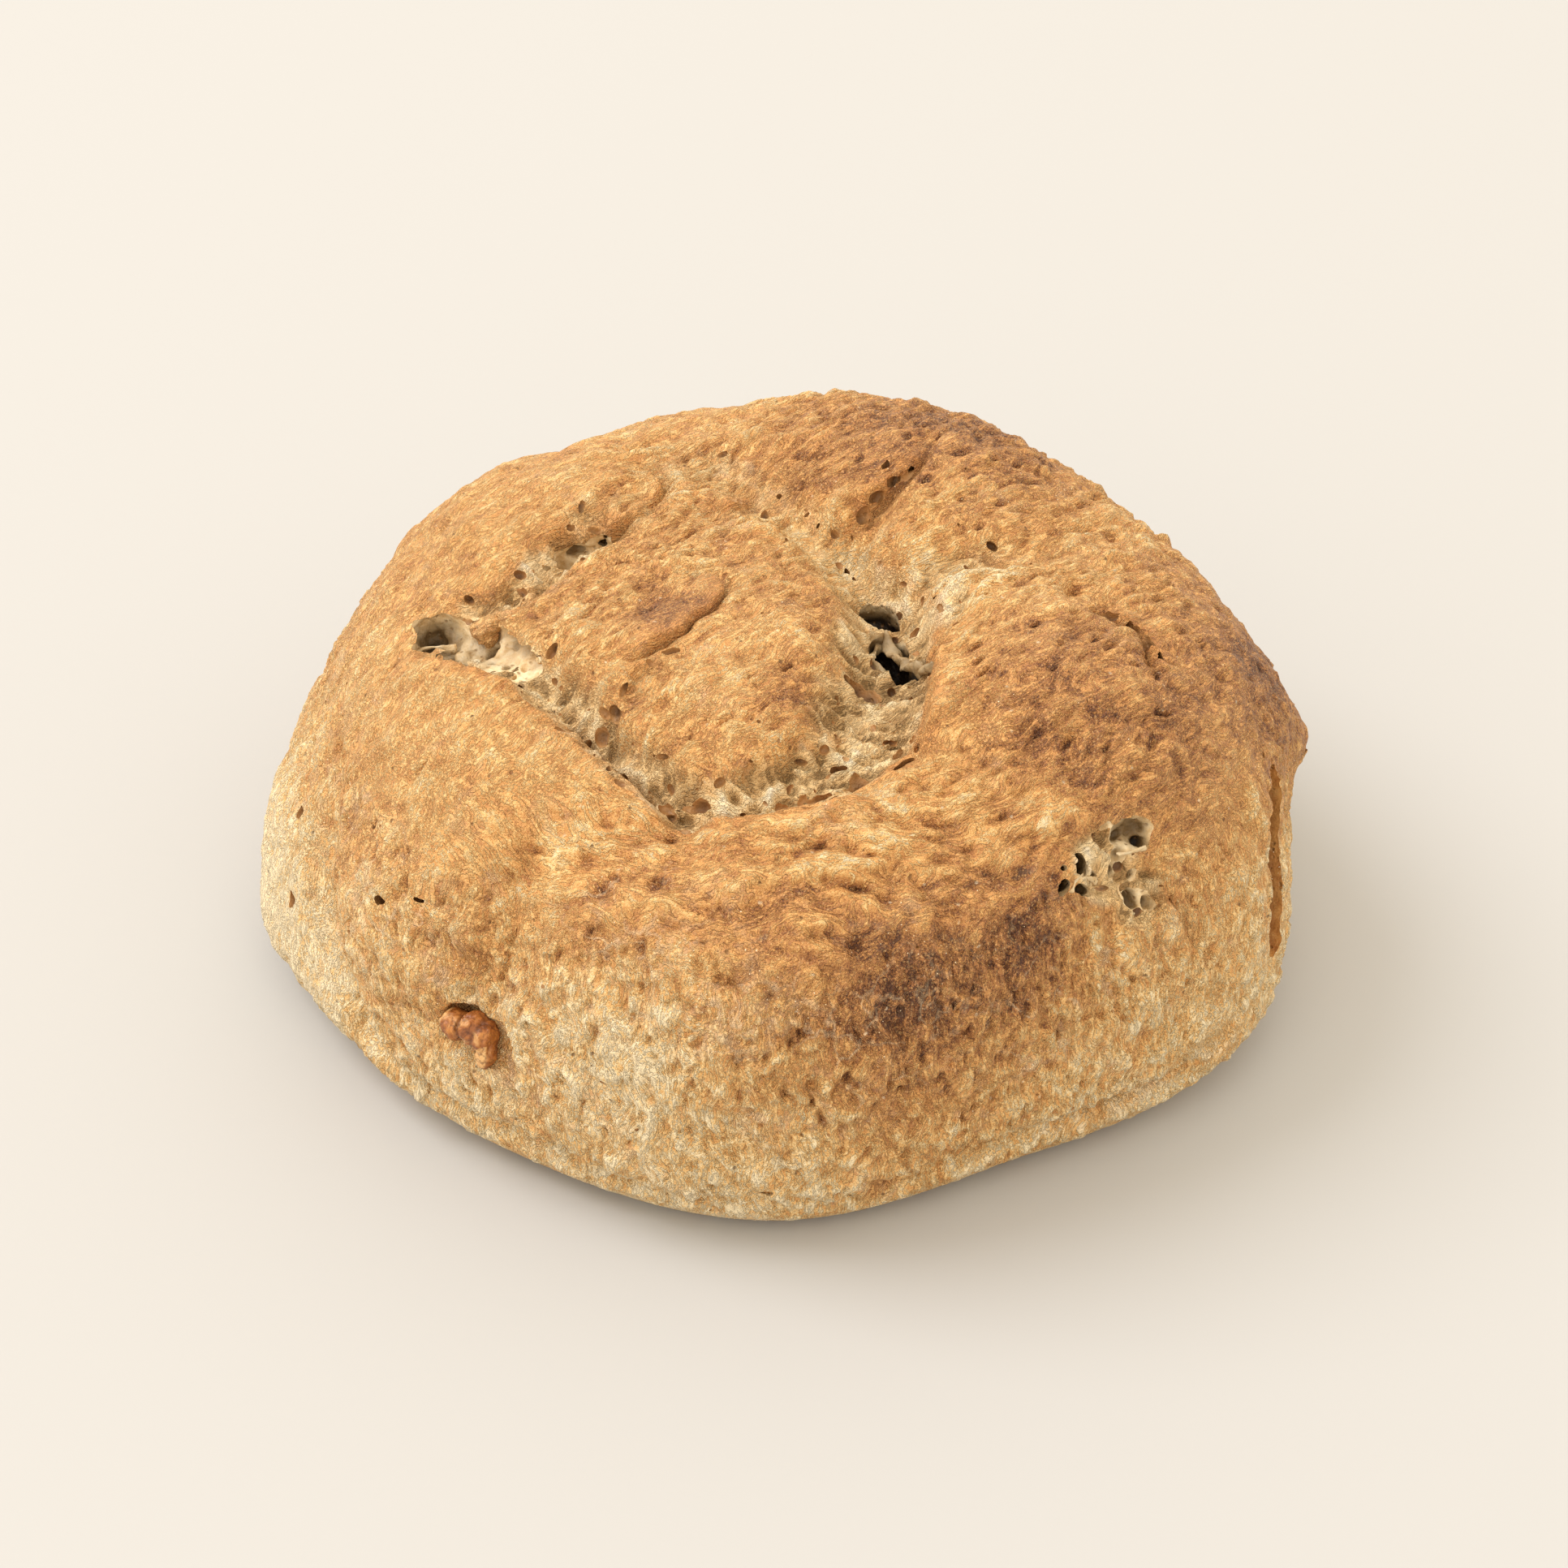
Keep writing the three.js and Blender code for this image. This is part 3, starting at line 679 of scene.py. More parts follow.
def mould(distance, low, high, pitch):
    """A closed quad mesh where distance(points) passes zero. It is negative inside."""
    axes = [np.arange(a, b + pitch, pitch) for a, b in zip(low, high)]
    grid = np.stack(np.meshgrid(*axes, indexing="ij"), -1)
    field = distance(grid.reshape(-1, 3)).reshape(grid.shape[:3])
    field = np.where(np.abs(field) < 1e-6, 1e-6, field)
    shape = np.array(field.shape) - 1
    total = np.zeros((*shape, 3))
    count = np.zeros(shape)
    crossings = []
    for axis in range(3):
        near = [slice(None)] * 3
        far = [slice(None)] * 3
        near[axis] = slice(0, -1)
        far[axis] = slice(1, None)
        a = field[tuple(near)]
        b = field[tuple(far)]
        crossed = (a < 0) != (b < 0)
        share = np.where(crossed, a / (a - b + 1e-12), 0)
        spot = grid[tuple(near)] + share[..., None] * (grid[tuple(far)] - grid[tuple(near)])
        others = [k for k in range(3) if k != axis]
        for du in (0, 1):
            for dv in (0, 1):
                cut = [slice(None)] * 3
                cut[others[0]] = slice(du, shape[others[0]] + du)
                cut[others[1]] = slice(dv, shape[others[1]] + dv)
                held = crossed[tuple(cut)]
                total += spot[tuple(cut)] * held[..., None]
                count += held
        crossings.append((axis, others, crossed, a < 0))
    number = np.full(shape, -1)
    number[count > 0] = np.arange((count > 0).sum())
    points = total[count > 0] / count[count > 0][:, None]
    quads = []
    for axis, others, crossed, inward in crossings:
        where = np.argwhere(crossed)
        ok = (where[:, others[0]] > 0) & (where[:, others[1]] > 0)
        ok &= (where[:, others[0]] <= shape[others[0]] - 1) & (where[:, others[1]] <= shape[others[1]] - 1)
        where = where[ok]
        corners = []
        for du, dv in ((0, 0), (1, 0), (1, 1), (0, 1)):
            cell = where.copy()
            cell[:, others[0]] -= du
            cell[:, others[1]] -= dv
            corners.append(number[tuple(cell.T)])
        quad = np.stack(corners, 1)
        flip = inward[tuple(where.T)] == (axis == 1)
        quad[flip] = quad[flip][:, ::-1]
        quads.append(quad)
    return points, np.concatenate(quads)


def oval_distance(q, radii):
    """About how far points are outside an oval round the origin."""
    scaled = q / np.asarray(radii, float)
    length = np.linalg.norm(scaled, axis=1)
    slope = np.linalg.norm(scaled / np.asarray(radii, float), axis=1) + 1e-9
    return length * (length - 1) / slope


def egg_distance(points, place, depth, radii, turn=0):
    q = place.local(points, turn)
    q[:, 2] += depth
    return oval_distance(q, radii)


def soft_least(values, blend):
    """The least of several distances, with their joins rounded off over the blend."""
    found = values[0]
    for other in values[1:]:
        h = np.clip(0.5 + 0.5 * (found - other) / blend, 0, 1)
        found = found * (1 - h) + other * h - blend * h * (1 - h)
    return found


def strip_distance(points, line, wide, thin, twist):
    """Distance to a strip that twists as it runs through the points of line."""
    least = np.full(len(points), 99.0)
    run = 0.0
    for a, b, wide_a, wide_b in zip(line[:-1], line[1:], wide[:-1], wide[1:]):
        length = np.linalg.norm(b - a)
        heading = (b - a) / length
        level = np.cross(heading, (0.05, 0.02, 1.0))
        level /= np.linalg.norm(level)
        t = np.clip(((points - a) @ heading) / length, 0, 1)
        away = points - a - t[:, None] * (b - a)
        angle = (run + t * length) * twist
        x = away @ level
        y = away @ np.cross(level, heading)
        across = (x * np.cos(angle) + y * np.sin(angle)) / (wide_a + (wide_b - wide_a) * t)
        over = (y * np.cos(angle) - x * np.sin(angle)) / thin
        past_end = (away @ heading) / thin
        least = np.minimum(least, (np.sqrt(across**2 + over**2 + past_end**2) - 1) * thin)
        run += length
    return least


# ---- Pockets -----------------------------------------------------------------------------------------
def eggs(place, *rows):
    """Bubbles at x and y on the crown, or at degrees and height on the side."""
    return [(place(a, b), depth, radii, turn) for a, b, depth, radii, turn in rows]


# Each pocket is a cluster of gas bubbles: where, depth of the middle, radii, turn in degrees.
POCKETS = {
    "left": eggs(
        crown,
        (-62.5, -6.5, 1.6, (5.2, 5.0, 3.8), 0), (-56.5, -10, 1.2, (5.6, 5.6, 3.2), -30),
        (-51, -14.5, 0.4, (6.2, 5.4, 2.6), -35), (-46.5, -20, 0.0, (5.6, 5.0, 2.0), -40),
        (-65.6, -3.6, 3.6, (2.6, 2.9, 4.6), 0), (-65.8, -9.4, 4.0, (1.9, 2.2, 4.2), 0),
        (-60.6, -14.0, 4.6, (5.4, 2.3, 4.4), -38), (-53.4, -10.4, 3.8, (1.8, 1.6, 3.6), 0),
        (-47, -24, 1.8, (0.9, 0.7, 1.8), 0), (-44.5, -26.5, 1.4, (0.7, 0.5, 1.6), 0),
        (-50, -25, 2.4, (1.2, 0.6, 2.0), -10), (-48.6, -12.6, 2.6, (0.9, 0.7, 2.0), 0),
        (-62.4, -9.6, 4.2, (1.0, 1.3, 2.4), 0), (-50.4, -17.4, 2.4, (0.8, 0.6, 2.0), 20),
        (-46.4, -19.6, 1.8, (0.6, 0.8, 2.0), 0), (-53.6, -15.0, 3.2, (0.9, 0.6, 2.0), -20),
        (-48.2, -21.4, 1.9, (0.5, 0.5, 1.8), 0), (-43.6, -22.6, 1.3, (0.7, 0.5, 1.6), 0),
    ),
    "back": eggs(
        crown,
        (-38, 13.4, 2.6, (5.0, 3.9, 3.8), 15), (-32.8, 16.4, 2.8, (4.8, 3.5, 3.8), 30),
        (-38.4, 18.6, 3.8, (1.9, 2.8, 1.6), 0), (-33.4, 22.2, 3.9, (1.7, 2.8, 1.5), 0),
        (-39.6, 14.6, 5.2, (1.8, 1.6, 2.6), 0), (-34.6, 16.6, 5.2, (1.3, 1.1, 2.4), 0),
        (-36.0, 12.0, 3.6, (1.0, 0.9, 2.4), 0), (-41.5, 12.2, 3.0, (1.1, 0.9, 2.4), 0),
        (-27.2, 24.4, 1.4, (5.0, 0.9, 2.4), 42), (-43, 9, 1.2, (1.0, 0.7, 1.8), 0),
        (-46, 1.5, 1.0, (1.4, 0.6, 1.6), 50),
    ),
    "centre": eggs(
        crown,
        (19.0, 0.8, 1.0, (3.8, 5.0, 5.4), 25), (20, -2, 8.0, (5.4, 6.4, 7.4), 0),
        (20.8, -12, 2.4, (3.8, 6.0, 5.0), 12), (23.8, -19, 2.0, (5.2, 3.2, 4.0), -28),
        (21, -13, 7.0, (4.6, 6.0, 5.0), 0), (27, -24.5, 1.0, (2.0, 1.4, 2.0), -20),
    ),
    "shallow": eggs(
        crown,
        (16.5, -25.5, 1.0, (3.6, 2.4, 2.6), -15), (12.6, -25.8, 0.6, (1.6, 0.9, 1.4), 0),
        (16.8, -31.5, 1.4, (1.0, 0.9, 2.0), 0), (22, -30, 1.0, (0.5, 0.5, 1.4), 0),
    ),
    "floor": eggs(
        crown,
        (15.3, -53, 0.9, (2.4, 2.8, 2.8), 20), (7, -56.6, 0.7, (3.4, 1.4, 1.8), 12),
        (11.6, -48.6, 1.2, (1.7, 1.2, 2.0), 0), (1.4, -58, 0.8, (1.7, 1.0, 1.6), 20),
        (-14.6, -57.4, 0.9, (3.2, 1.3, 2.0), -12), (-20, -57, 0.9, (1.6, 1.2, 1.6), -30),
        (22.5, -51, 0.9, (2.6, 1.0, 1.6), 40), (24.6, -42, 0.8, (0.8, 2.4, 1.6), -12),
    ),
    "web": eggs(
        side,
        (319.6, 64.4, 1.0, (4.4, 3.2, 3.4), -25), (316.4, 61.4, 1.8, (3.6, 1.8, 3.4), 35),
        (318.6, 65.0, 3.2, (1.9, 1.3, 2.4), 20), (315.4, 60.4, 3.6, (1.9, 1.0, 2.8), 30),
        (320.8, 62.8, 3.0, (1.2, 1.4, 2.4), 0), (317.8, 58.8, 2.2, (1.4, 0.9, 2.4), 30),
        (311.0, 63.4, 3.4, (1.7, 2.6, 4.6), -5), (307.7, 61.4, 3.0, (2.0, 1.4, 3.8), 30),
        (310.2, 59.8, 3.0, (2.2, 1.2, 3.8), -40), (312.4, 61.0, 2.8, (0.9, 1.0, 3.0), 0),
        (316.6, 67.0, 1.8, (1.4, 0.8, 1.8), 0), (308.6, 63.8, 2.2, (0.8, 0.7, 2.2), 0),
    ),
    "web_low": eggs(
        side,
        (317.6, 54.4, 0.8, (3.4, 2.6, 2.2), -30), (316.8, 54.8, 2.8, (1.6, 2.2, 3.0), 0),
        (318.9, 52.6, 2.6, (1.4, 1.5, 2.6), 0), (315.6, 57.0, 1.8, (0.6, 1.6, 1.6), -20),
    ),
    "tear": eggs(
        side,
        (347.4, 53.0, 0.8, (1.8, 2.4, 3.6), 50), (345.0, 50.6, 1.2, (2.6, 3.6, 4.6), 40),
        (342.6, 46.6, 1.4, (3.4, 4.8, 5.4), 30), (341.0, 41.0, 1.5, (3.9, 5.6, 5.8), 20),
        (339.4, 34.6, 1.4, (3.8, 6.0, 5.6), 10), (338.2, 28.0, 1.0, (3.0, 5.6, 4.6), 6),
    ),
    "dimple": eggs(
        side,
        (232, 32.2, -2.2, (8.0, 6.2, 4.0), -10), (234.8, 32.0, 0.4, (5.0, 5.2, 2.8), -20),
        (237.2, 29.2, -0.2, (2.6, 3.8, 2.0), 20), (230.5, 33.4, 1.6, (4.4, 3.2, 2.8), 0),
    ),
    "island": eggs(
        crown,
        (-31.4, -40.7, 0.7, (1.5, 2.2, 1.9), 0), (-28.4, -38.8, 0.6, (1.4, 2.3, 1.9), 0),
        (-40, -21.7, 0.5, (0.9, 2.0, 1.3), -35), (-42.6, -21.6, 0.4, (0.8, 0.8, 1.3), 0),
    ),
    "slits": eggs(
        crown,
        (-18.4, -26.9, 0.8, (1.8, 0.7, 1.4), 10), (-26.6, -35, 0.4, (0.5, 2.2, 1.1), -20),
        (-22, -29.5, 0.5, (0.9, 0.7, 1.1), 0), (13.3, 12.4, 0.4, (0.5, 1.6, 1.2), 25),
        (14.8, 10, 0.4, (0.4, 1.2, 1.2), 30), (8.4, 20.8, 0.4, (1.0, 0.5, 1.2), 30),
        (11, 18.4, 0.4, (1.2, 0.5, 1.2), -30), (6, 24, 0.4, (0.8, 0.5, 1.1), 0),
        (0.6, 30, 0.3, (0.9, 0.6, 1.1), 0), (-8, 43, 0.3, (0.8, 0.7, 1.1), 0),
        (29.4, -3.4, 0.4, (0.7, 0.6, 1.2), 0), (32, -13.8, 0.5, (0.8, 0.6, 1.2), 0),
        (32.4, -16.2, 0.4, (0.9, 0.5, 1.2), 20),
    ),
    "gash": eggs(
        crown,
        (16.2, 22.2, 0.5, (1.2, 2.0, 1.8), -30), (18.2, 23.2, 0.2, (1.0, 2.6, 1.6), -42),
        (18.6, 26.6, 0.4, (0.9, 2.2, 1.7), -36), (21.4, 27.0, 0.1, (1.1, 3.0, 1.5), -44),
        (22.0, 30.8, 0.3, (0.8, 2.4, 1.6), -38), (24.8, 31.2, 0.1, (1.0, 2.8, 1.4), -42),
        (26.0, 35.0, 0.2, (0.8, 2.2, 1.4), -36), (20.6, 33.2, 0.0, (0.7, 1.8, 1.2), -30),
    ),
    "crack": eggs(
        crown,
        (60.5, -10.2, 0.9, (2.2, 0.8, 1.8), -8), (64.4, -12.2, 1.1, (2.2, 0.9, 2.2), -38),
        (67.0, -16.0, 1.2, (0.9, 2.8, 2.4), 14), (68.0, -21.0, 0.9, (0.8, 2.6, 2.0), 0),
    ),
    "left_side": eggs(side, (195.8, 27, 0.6, (1.2, 1.8, 2.0), 10), (191.8, 42, 0.5, (0.9, 1.6, 1.6), 0)),
    "bulge": eggs(side, (217.2, 48.6, 0.8, (1.5, 1.1, 1.8), 20), (222.5, 52.5, 0.6, (1.6, 0.7, 1.4), 15)),
    "skirt": eggs(
        side,
        (333, 21, 0.6, (1.2, 1.8, 1.6), 20), (269, 15, 0.6, (1.6, 0.7, 1.2), 0),
        (282.5, 13.6, 0.8, (2.4, 0.9, 1.6), 5), (325, 38, 0.3, (1.7, 1.7, 1.2), 0),
    ),
}
POCKET_PITCH = 0.45  # edge of the cells that a pocket is moulded in
# Each pocket's skin (0 crust, 1 crumb, 2 pore wall, 3 tear wall), the blend between its bubbles, how
# foamy its walls are, and how strongly their depth is painted as shade.
POCKET_FINISH = {
    "left": (1, 0.8, 1.2, 1.3),
    "back": (1, 1.2, 1.6, 0.9),
    "centre": (1, 1.2, 1.0, 3.2),
    "shallow": (2, 1.2, 1.0, 0.8),
    "floor": (2, 0.3, 1.0, 0.8),
    "web": (1, 0.3, 1.4, 2.6),
    "web_low": (1, 0.4, 1.0, 2.6),
    "tear": (3, 2.6, 0.0, 1.6),
    "dimple": (0, 1.2, 0.1, 1.0),
    "island": (2, 0.1, 1.0, 0.9),
    "slits": (2, 0.1, 0.2, 1.0),
    "gash": (2, 0.3, 1.0, 0.7),
    "crack": (2, 0.6, 1.0, 1.2),
    "left_side": (2, 0.1, 0.2, 1.0),
    "bulge": (2, 0.1, 0.2, 1.0),
    "skirt": (0, 1.2, 0.2, 1.0),
}


def surface_lift(place):
    """How far the relief raises or sinks the surface at a place."""
    rise = sum(r * swell(place.at[None], m, reach)[0] for m, reach, r in MOUNDS)
    return rise - sum(groove_depth(place.at[None], route)[0] for route in groove_routes)


def lifted_eggs(given):
    """Eggs with depths from the plain form instead of from the finished surface, and their middles."""
    lifted = [(p, depth - surface_lift(p), radii, math.radians(turn)) for p, depth, radii, turn in given]
    return lifted, np.array([p.world(0, 0, -depth) for p, depth, _, _ in lifted])


def pocket_points(name):
    """The closed skin of one cluster of bubbles."""
    _, blend, foam, _ = POCKET_FINISH[name]
    lifted, centres = lifted_eggs(POCKETS[name])
    reach = max(max(radii) for _, _, radii, _ in lifted) + 2.5
    low = centres.min(0) - reach
    high = centres.max(0) + reach

    def distance(points):
        each = [egg_distance(points, *egg) for egg in lifted]
        whole = soft_least(each, blend)
        near = np.abs(whole) < 2
        cells, _ = bubbles(points[near], 2.2, 83)
        small, _ = bubbles(points[near], 1.2, 84)
        whole[near] += foam * (0.7 * (cells - 0.5) + 0.5 * (small - 0.5)) + 0.2 * noise(points[near], 2.6, 81)
        return whole

    return mould(distance, low, high, POCKET_PITCH)


def join_arrays(parts):
    points = []
    faces = []
    first = 0
    for p, f in parts:
        points.append(p)
        faces += (np.asarray(f) + first).tolist()
        first += len(p)
    return np.concatenate(points), faces


def cut(body, tool, solver="MANIFOLD"):
    """Takes the tool away from the body and removes it. A cut that changes nothing is made again."""
    before = len(body.data.polygons)
    modifier = body.modifiers.new("cut", "BOOLEAN")
    modifier.operation = "DIFFERENCE"
    modifier.solver = solver
    modifier.object = tool
    result = evaluated_mesh(body)
    body.modifiers.remove(modifier)
    if len(result.polygons) == before and solver == "MANIFOLD":
        bpy.data.meshes.remove(result)
        cut(body, tool, "EXACT")
        return
    change_mesh(body, result)
    bpy.data.objects.remove(tool)


# ---- Material helpers --------------------------------------------------------------------------------
def shade(red, green, blue):
    """A linear colour from the usual 0 to 255 values."""
    channels = [c / 255 for c in (red, green, blue)]
    return (*[c / 12.92 if c <= 0.04045 else ((c + 0.055) / 1.055) ** 2.4 for c in channels], 1)


def place_node(tree, kind, inputs=None, **settings):
    """A new node with its settings, and each input given a value or linked to a socket."""
    made = tree.nodes.new(kind)
    for name, value in settings.items():
        setattr(made, name, value)
    for socket, value in (inputs or {}).items():
        target = made.inputs[socket]
        if isinstance(value, bpy.types.NodeSocket):
            tree.links.new(value, target)
        else:
            target.default_value = value
    return made


def sums(tree, operation, a, b=0.0, clamp=False):
    return place_node(tree, "ShaderNodeMath", {0: a, 1: b}, operation=operation, use_clamp=clamp).outputs[0]


def plus(tree, a, b, clamp=False):
    return sums(tree, "ADD", a, b, clamp)


def times(tree, a, b, clamp=False):
    return sums(tree, "MULTIPLY", a, b, clamp)


def vectors(tree, operation, a, b):
    return place_node(tree, "ShaderNodeVectorMath", {0: a, 1: b}, operation=operation).outputs[0]


def bend(tree, vector, scale, detail, reach, middle=0.5):
    """The vector, pushed about by noise of the scale. The noise's middle value pushes nothing."""
    push = place_node(tree, "ShaderNodeTexNoise", {"Vector": vector, "Scale": scale, "Detail": detail})
    centred = vectors(tree, "SUBTRACT", push.outputs["Color"], (middle, middle, middle))
    return vectors(tree, "ADD", vector, vectors(tree, "MULTIPLY", centred, (reach, reach, reach)))


def spread(tree, value, low, high, to_low=0.0, to_high=1.0):
    """The value's way from low to high, stretched to other ends and kept between them."""
    made = place_node(tree, "ShaderNodeMapRange", {
        "Value": value, "From Min": low, "From Max": high, "To Min": to_low, "To Max": to_high})
    return made.outputs["Result"]


def blend_colours(tree, share, a, b):
    return place_node(tree, "ShaderNodeMix", {0: share, 6: a, 7: b}, data_type="RGBA").outputs[2]


def attribute(tree, name):
    return place_node(tree, "ShaderNodeAttribute", attribute_name=name).outputs["Fac"]


def colour_steps(tree, value, steps):
    made = place_node(tree, "ShaderNodeValToRGB", {"Fac": value})
    ramp = made.color_ramp
    while len(ramp.elements) < len(steps):
        ramp.elements.new(0.5)
    for element, (position, colour) in zip(ramp.elements, steps):
        element.position = position
        element.color = colour
    return made.outputs["Color"]


def new_group(name, inputs, outputs):
    tree = bpy.data.node_groups.new(name, "ShaderNodeTree")
    for label, kind, default in inputs:
        socket = tree.interface.new_socket(label, in_out="INPUT", socket_type=kind)
        if default is not None:
            socket.default_value = default
    for label, kind in outputs:
        tree.interface.new_socket(label, in_out="OUTPUT", socket_type=kind)
    source = tree.nodes.new("NodeGroupInput")
    sink = tree.nodes.new("NodeGroupOutput")
    return tree, source.outputs, sink.inputs


def use_group(tree, group, inputs):
    return place_node(tree, "ShaderNodeGroup", inputs, node_tree=group).outputs


def new_material(name):
    material = bpy.data.materials.new(name)
    material.use_nodes = True
    tree = material.node_tree
    tree.nodes.clear()
    output = tree.nodes.new("ShaderNodeOutputMaterial")
    surface = tree.nodes.new("ShaderNodeBsdfPrincipled")
    tree.links.new(surface.outputs[0], output.inputs["Surface"])
    where = place_node(tree, "ShaderNodeTexCoord").outputs["Object"]
    return material, tree, surface, where


# ---- Shared effects ----------------------------------------------------------------------------------
RING_RADIUS = 0.08  # metres from the middle at which the skin's rings keep their true length


def make_stretched_skin():
    """Streaks and thin threads drawn out the way the skin stretched: down, round the front, or across."""
    tree, given, made = new_group(
        "stretched_skin",
        [("Vector", "NodeSocketVector", None), ("Width", "NodeSocketFloat", 0.0009),
         ("Length", "NodeSocketFloat", 0.007), ("Wall", "NodeSocketFloat", 0.0),
         ("Front", "NodeSocketFloat", 0.0)],
        [("Streaks", "NodeSocketFloat"), ("Threads", "NodeSocketFloat")])
    bent = bend(tree, given["Vector"], 110.0, 1.0, 0.006)
    per_width = sums(tree, "DIVIDE", 1.0, given["Width"])
    per_length = sums(tree, "DIVIDE", 1.0, given["Length"])

    def combined(x, y, z):
        return place_node(tree, "ShaderNodeCombineXYZ", {0: x, 1: y, 2: z}).outputs[0]

    def scaled(vector, x, y, z):
        return vectors(tree, "MULTIPLY", vector, combined(x, y, z))

    def streak(vector):
        made_noise = place_node(tree, "ShaderNodeTexNoise", {
            "Vector": vector, "Scale": 1.0, "Detail": 2.0, "Roughness": 0.6})
        return made_noise.outputs["Fac"]

    turned = place_node(tree, "ShaderNodeMapping", {
        "Vector": bent, "Rotation": (0, 0, -math.pi / 4)}).outputs[0]
    across = streak(scaled(turned, per_length, per_width, per_width))
    upright = streak(scaled(bent, per_width, per_width, per_length))
    parts = place_node(tree, "ShaderNodeSeparateXYZ", {0: bent}).outputs
    flat = combined(parts[0], parts[1], 0.0)
    radius = place_node(tree, "ShaderNodeVectorMath", {0: flat}, operation="LENGTH").outputs["Value"]
    aim = place_node(tree, "ShaderNodeVectorMath", {0: flat}, operation="NORMALIZE").outputs[0]
    aim_parts = place_node(tree, "ShaderNodeSeparateXYZ", {0: aim}).outputs
    ring = combined(radius, times(tree, aim_parts[0], RING_RADIUS), times(tree, aim_parts[1], RING_RADIUS))
    ringed = streak(scaled(ring, per_width, per_length, per_length))
    first = place_node(tree, "ShaderNodeMix", {0: given["Wall"], 2: across, 3: upright}).outputs[0]
    second = place_node(tree, "ShaderNodeMix", {0: given["Front"], 2: first, 3: ringed}).outputs[0]
    tree.links.new(spread(tree, second, 0.34, 0.66), made["Streaks"])
    off_middle = sums(tree, "ABSOLUTE", sums(tree, "SUBTRACT", second, 0.5))
    tree.links.new(spread(tree, off_middle, 0.045, 0.0), made["Threads"])
    return tree


def make_speckle():
    """Scattered soft round spots of one size, on a share of their places."""
    tree, given, made = new_group(
        "speckle",
        [("Vector", "NodeSocketVector", None), ("Size", "NodeSocketFloat", 0.003),
         ("Radius", "NodeSocketFloat", 0.16), ("Share", "NodeSocketFloat", 0.4)],
        [("Spots", "NodeSocketFloat")])
    scale = sums(tree, "DIVIDE", 1.0, given["Size"])
    bent = bend(tree, given["Vector"], 900.0, 1.0, 0.0008)
    cells = place_node(tree, "ShaderNodeTexVoronoi", {"Vector": bent, "Scale": scale})
    fade = place_node(tree, "ShaderNodeMapRange", {
        "Value": cells.outputs["Distance"], "From Min": given["Radius"], "From Max": 0.02,
        "To Min": 0.0, "To Max": 1.0}, interpolation_type="SMOOTHSTEP").outputs["Result"]
    own = place_node(tree, "ShaderNodeSeparateColor", {0: cells.outputs["Color"]}).outputs[0]
    chosen = sums(tree, "LESS_THAN", own, given["Share"])
    tree.links.new(times(tree, fade, chosen), made["Spots"])
    return tree


def make_mottle():
    """Uneven patches with finer ones inside them."""
    tree, given, made = new_group(
        "mottle",
        [("Vector", "NodeSocketVector", None), ("Size", "NodeSocketFloat", 0.004)],
        [("Patches", "NodeSocketFloat"), ("Grain", "NodeSocketFloat")])
    scale = sums(tree, "DIVIDE", 1.0, given["Size"])
    patches = place_node(tree, "ShaderNodeTexNoise", {
        "Vector": given["Vector"], "Scale": scale, "Detail": 3.0, "Roughness": 0.66})
    finer = times(tree, scale, 6.0)
    grain = place_node(tree, "ShaderNodeTexNoise", {
        "Vector": given["Vector"], "Scale": finer, "Detail": 1.5, "Roughness": 0.7})
    tree.links.new(spread(tree, patches.outputs["Fac"], 0.28, 0.72), made["Patches"])
    tree.links.new(spread(tree, grain.outputs["Fac"], 0.3, 0.7), made["Grain"])
    return tree


def speckled(tree, where, size, radius, share):
    given = {"Vector": where, "Size": size, "Radius": radius, "Share": share}
    return use_group(tree, speckle, given)["Spots"]


def raise_surface(tree, surface, height, strength, distance):
    """Fine relief on a material, too small for the mesh. The distance is in metres."""
    given = {"Height": height, "Strength": strength, "Distance": distance}
    raised = place_node(tree, "ShaderNodeBump", given)
    tree.links.new(raised.outputs["Normal"], surface.inputs["Normal"])


stretched_skin = make_stretched_skin()
speckle = make_speckle()
mottle = make_mottle()

CRUST_STEPS = [
    (0.00, shade(246, 226, 188)), (0.13, shade(240, 207, 151)), (0.30, shade(231, 183, 117)),
    (0.45, shade(217, 159, 94)), (0.60, shade(196, 138, 81)), (0.75, shade(163, 108, 63)),
    (0.90, shade(122, 76, 45)), (1.00, shade(86, 50, 31)),
]


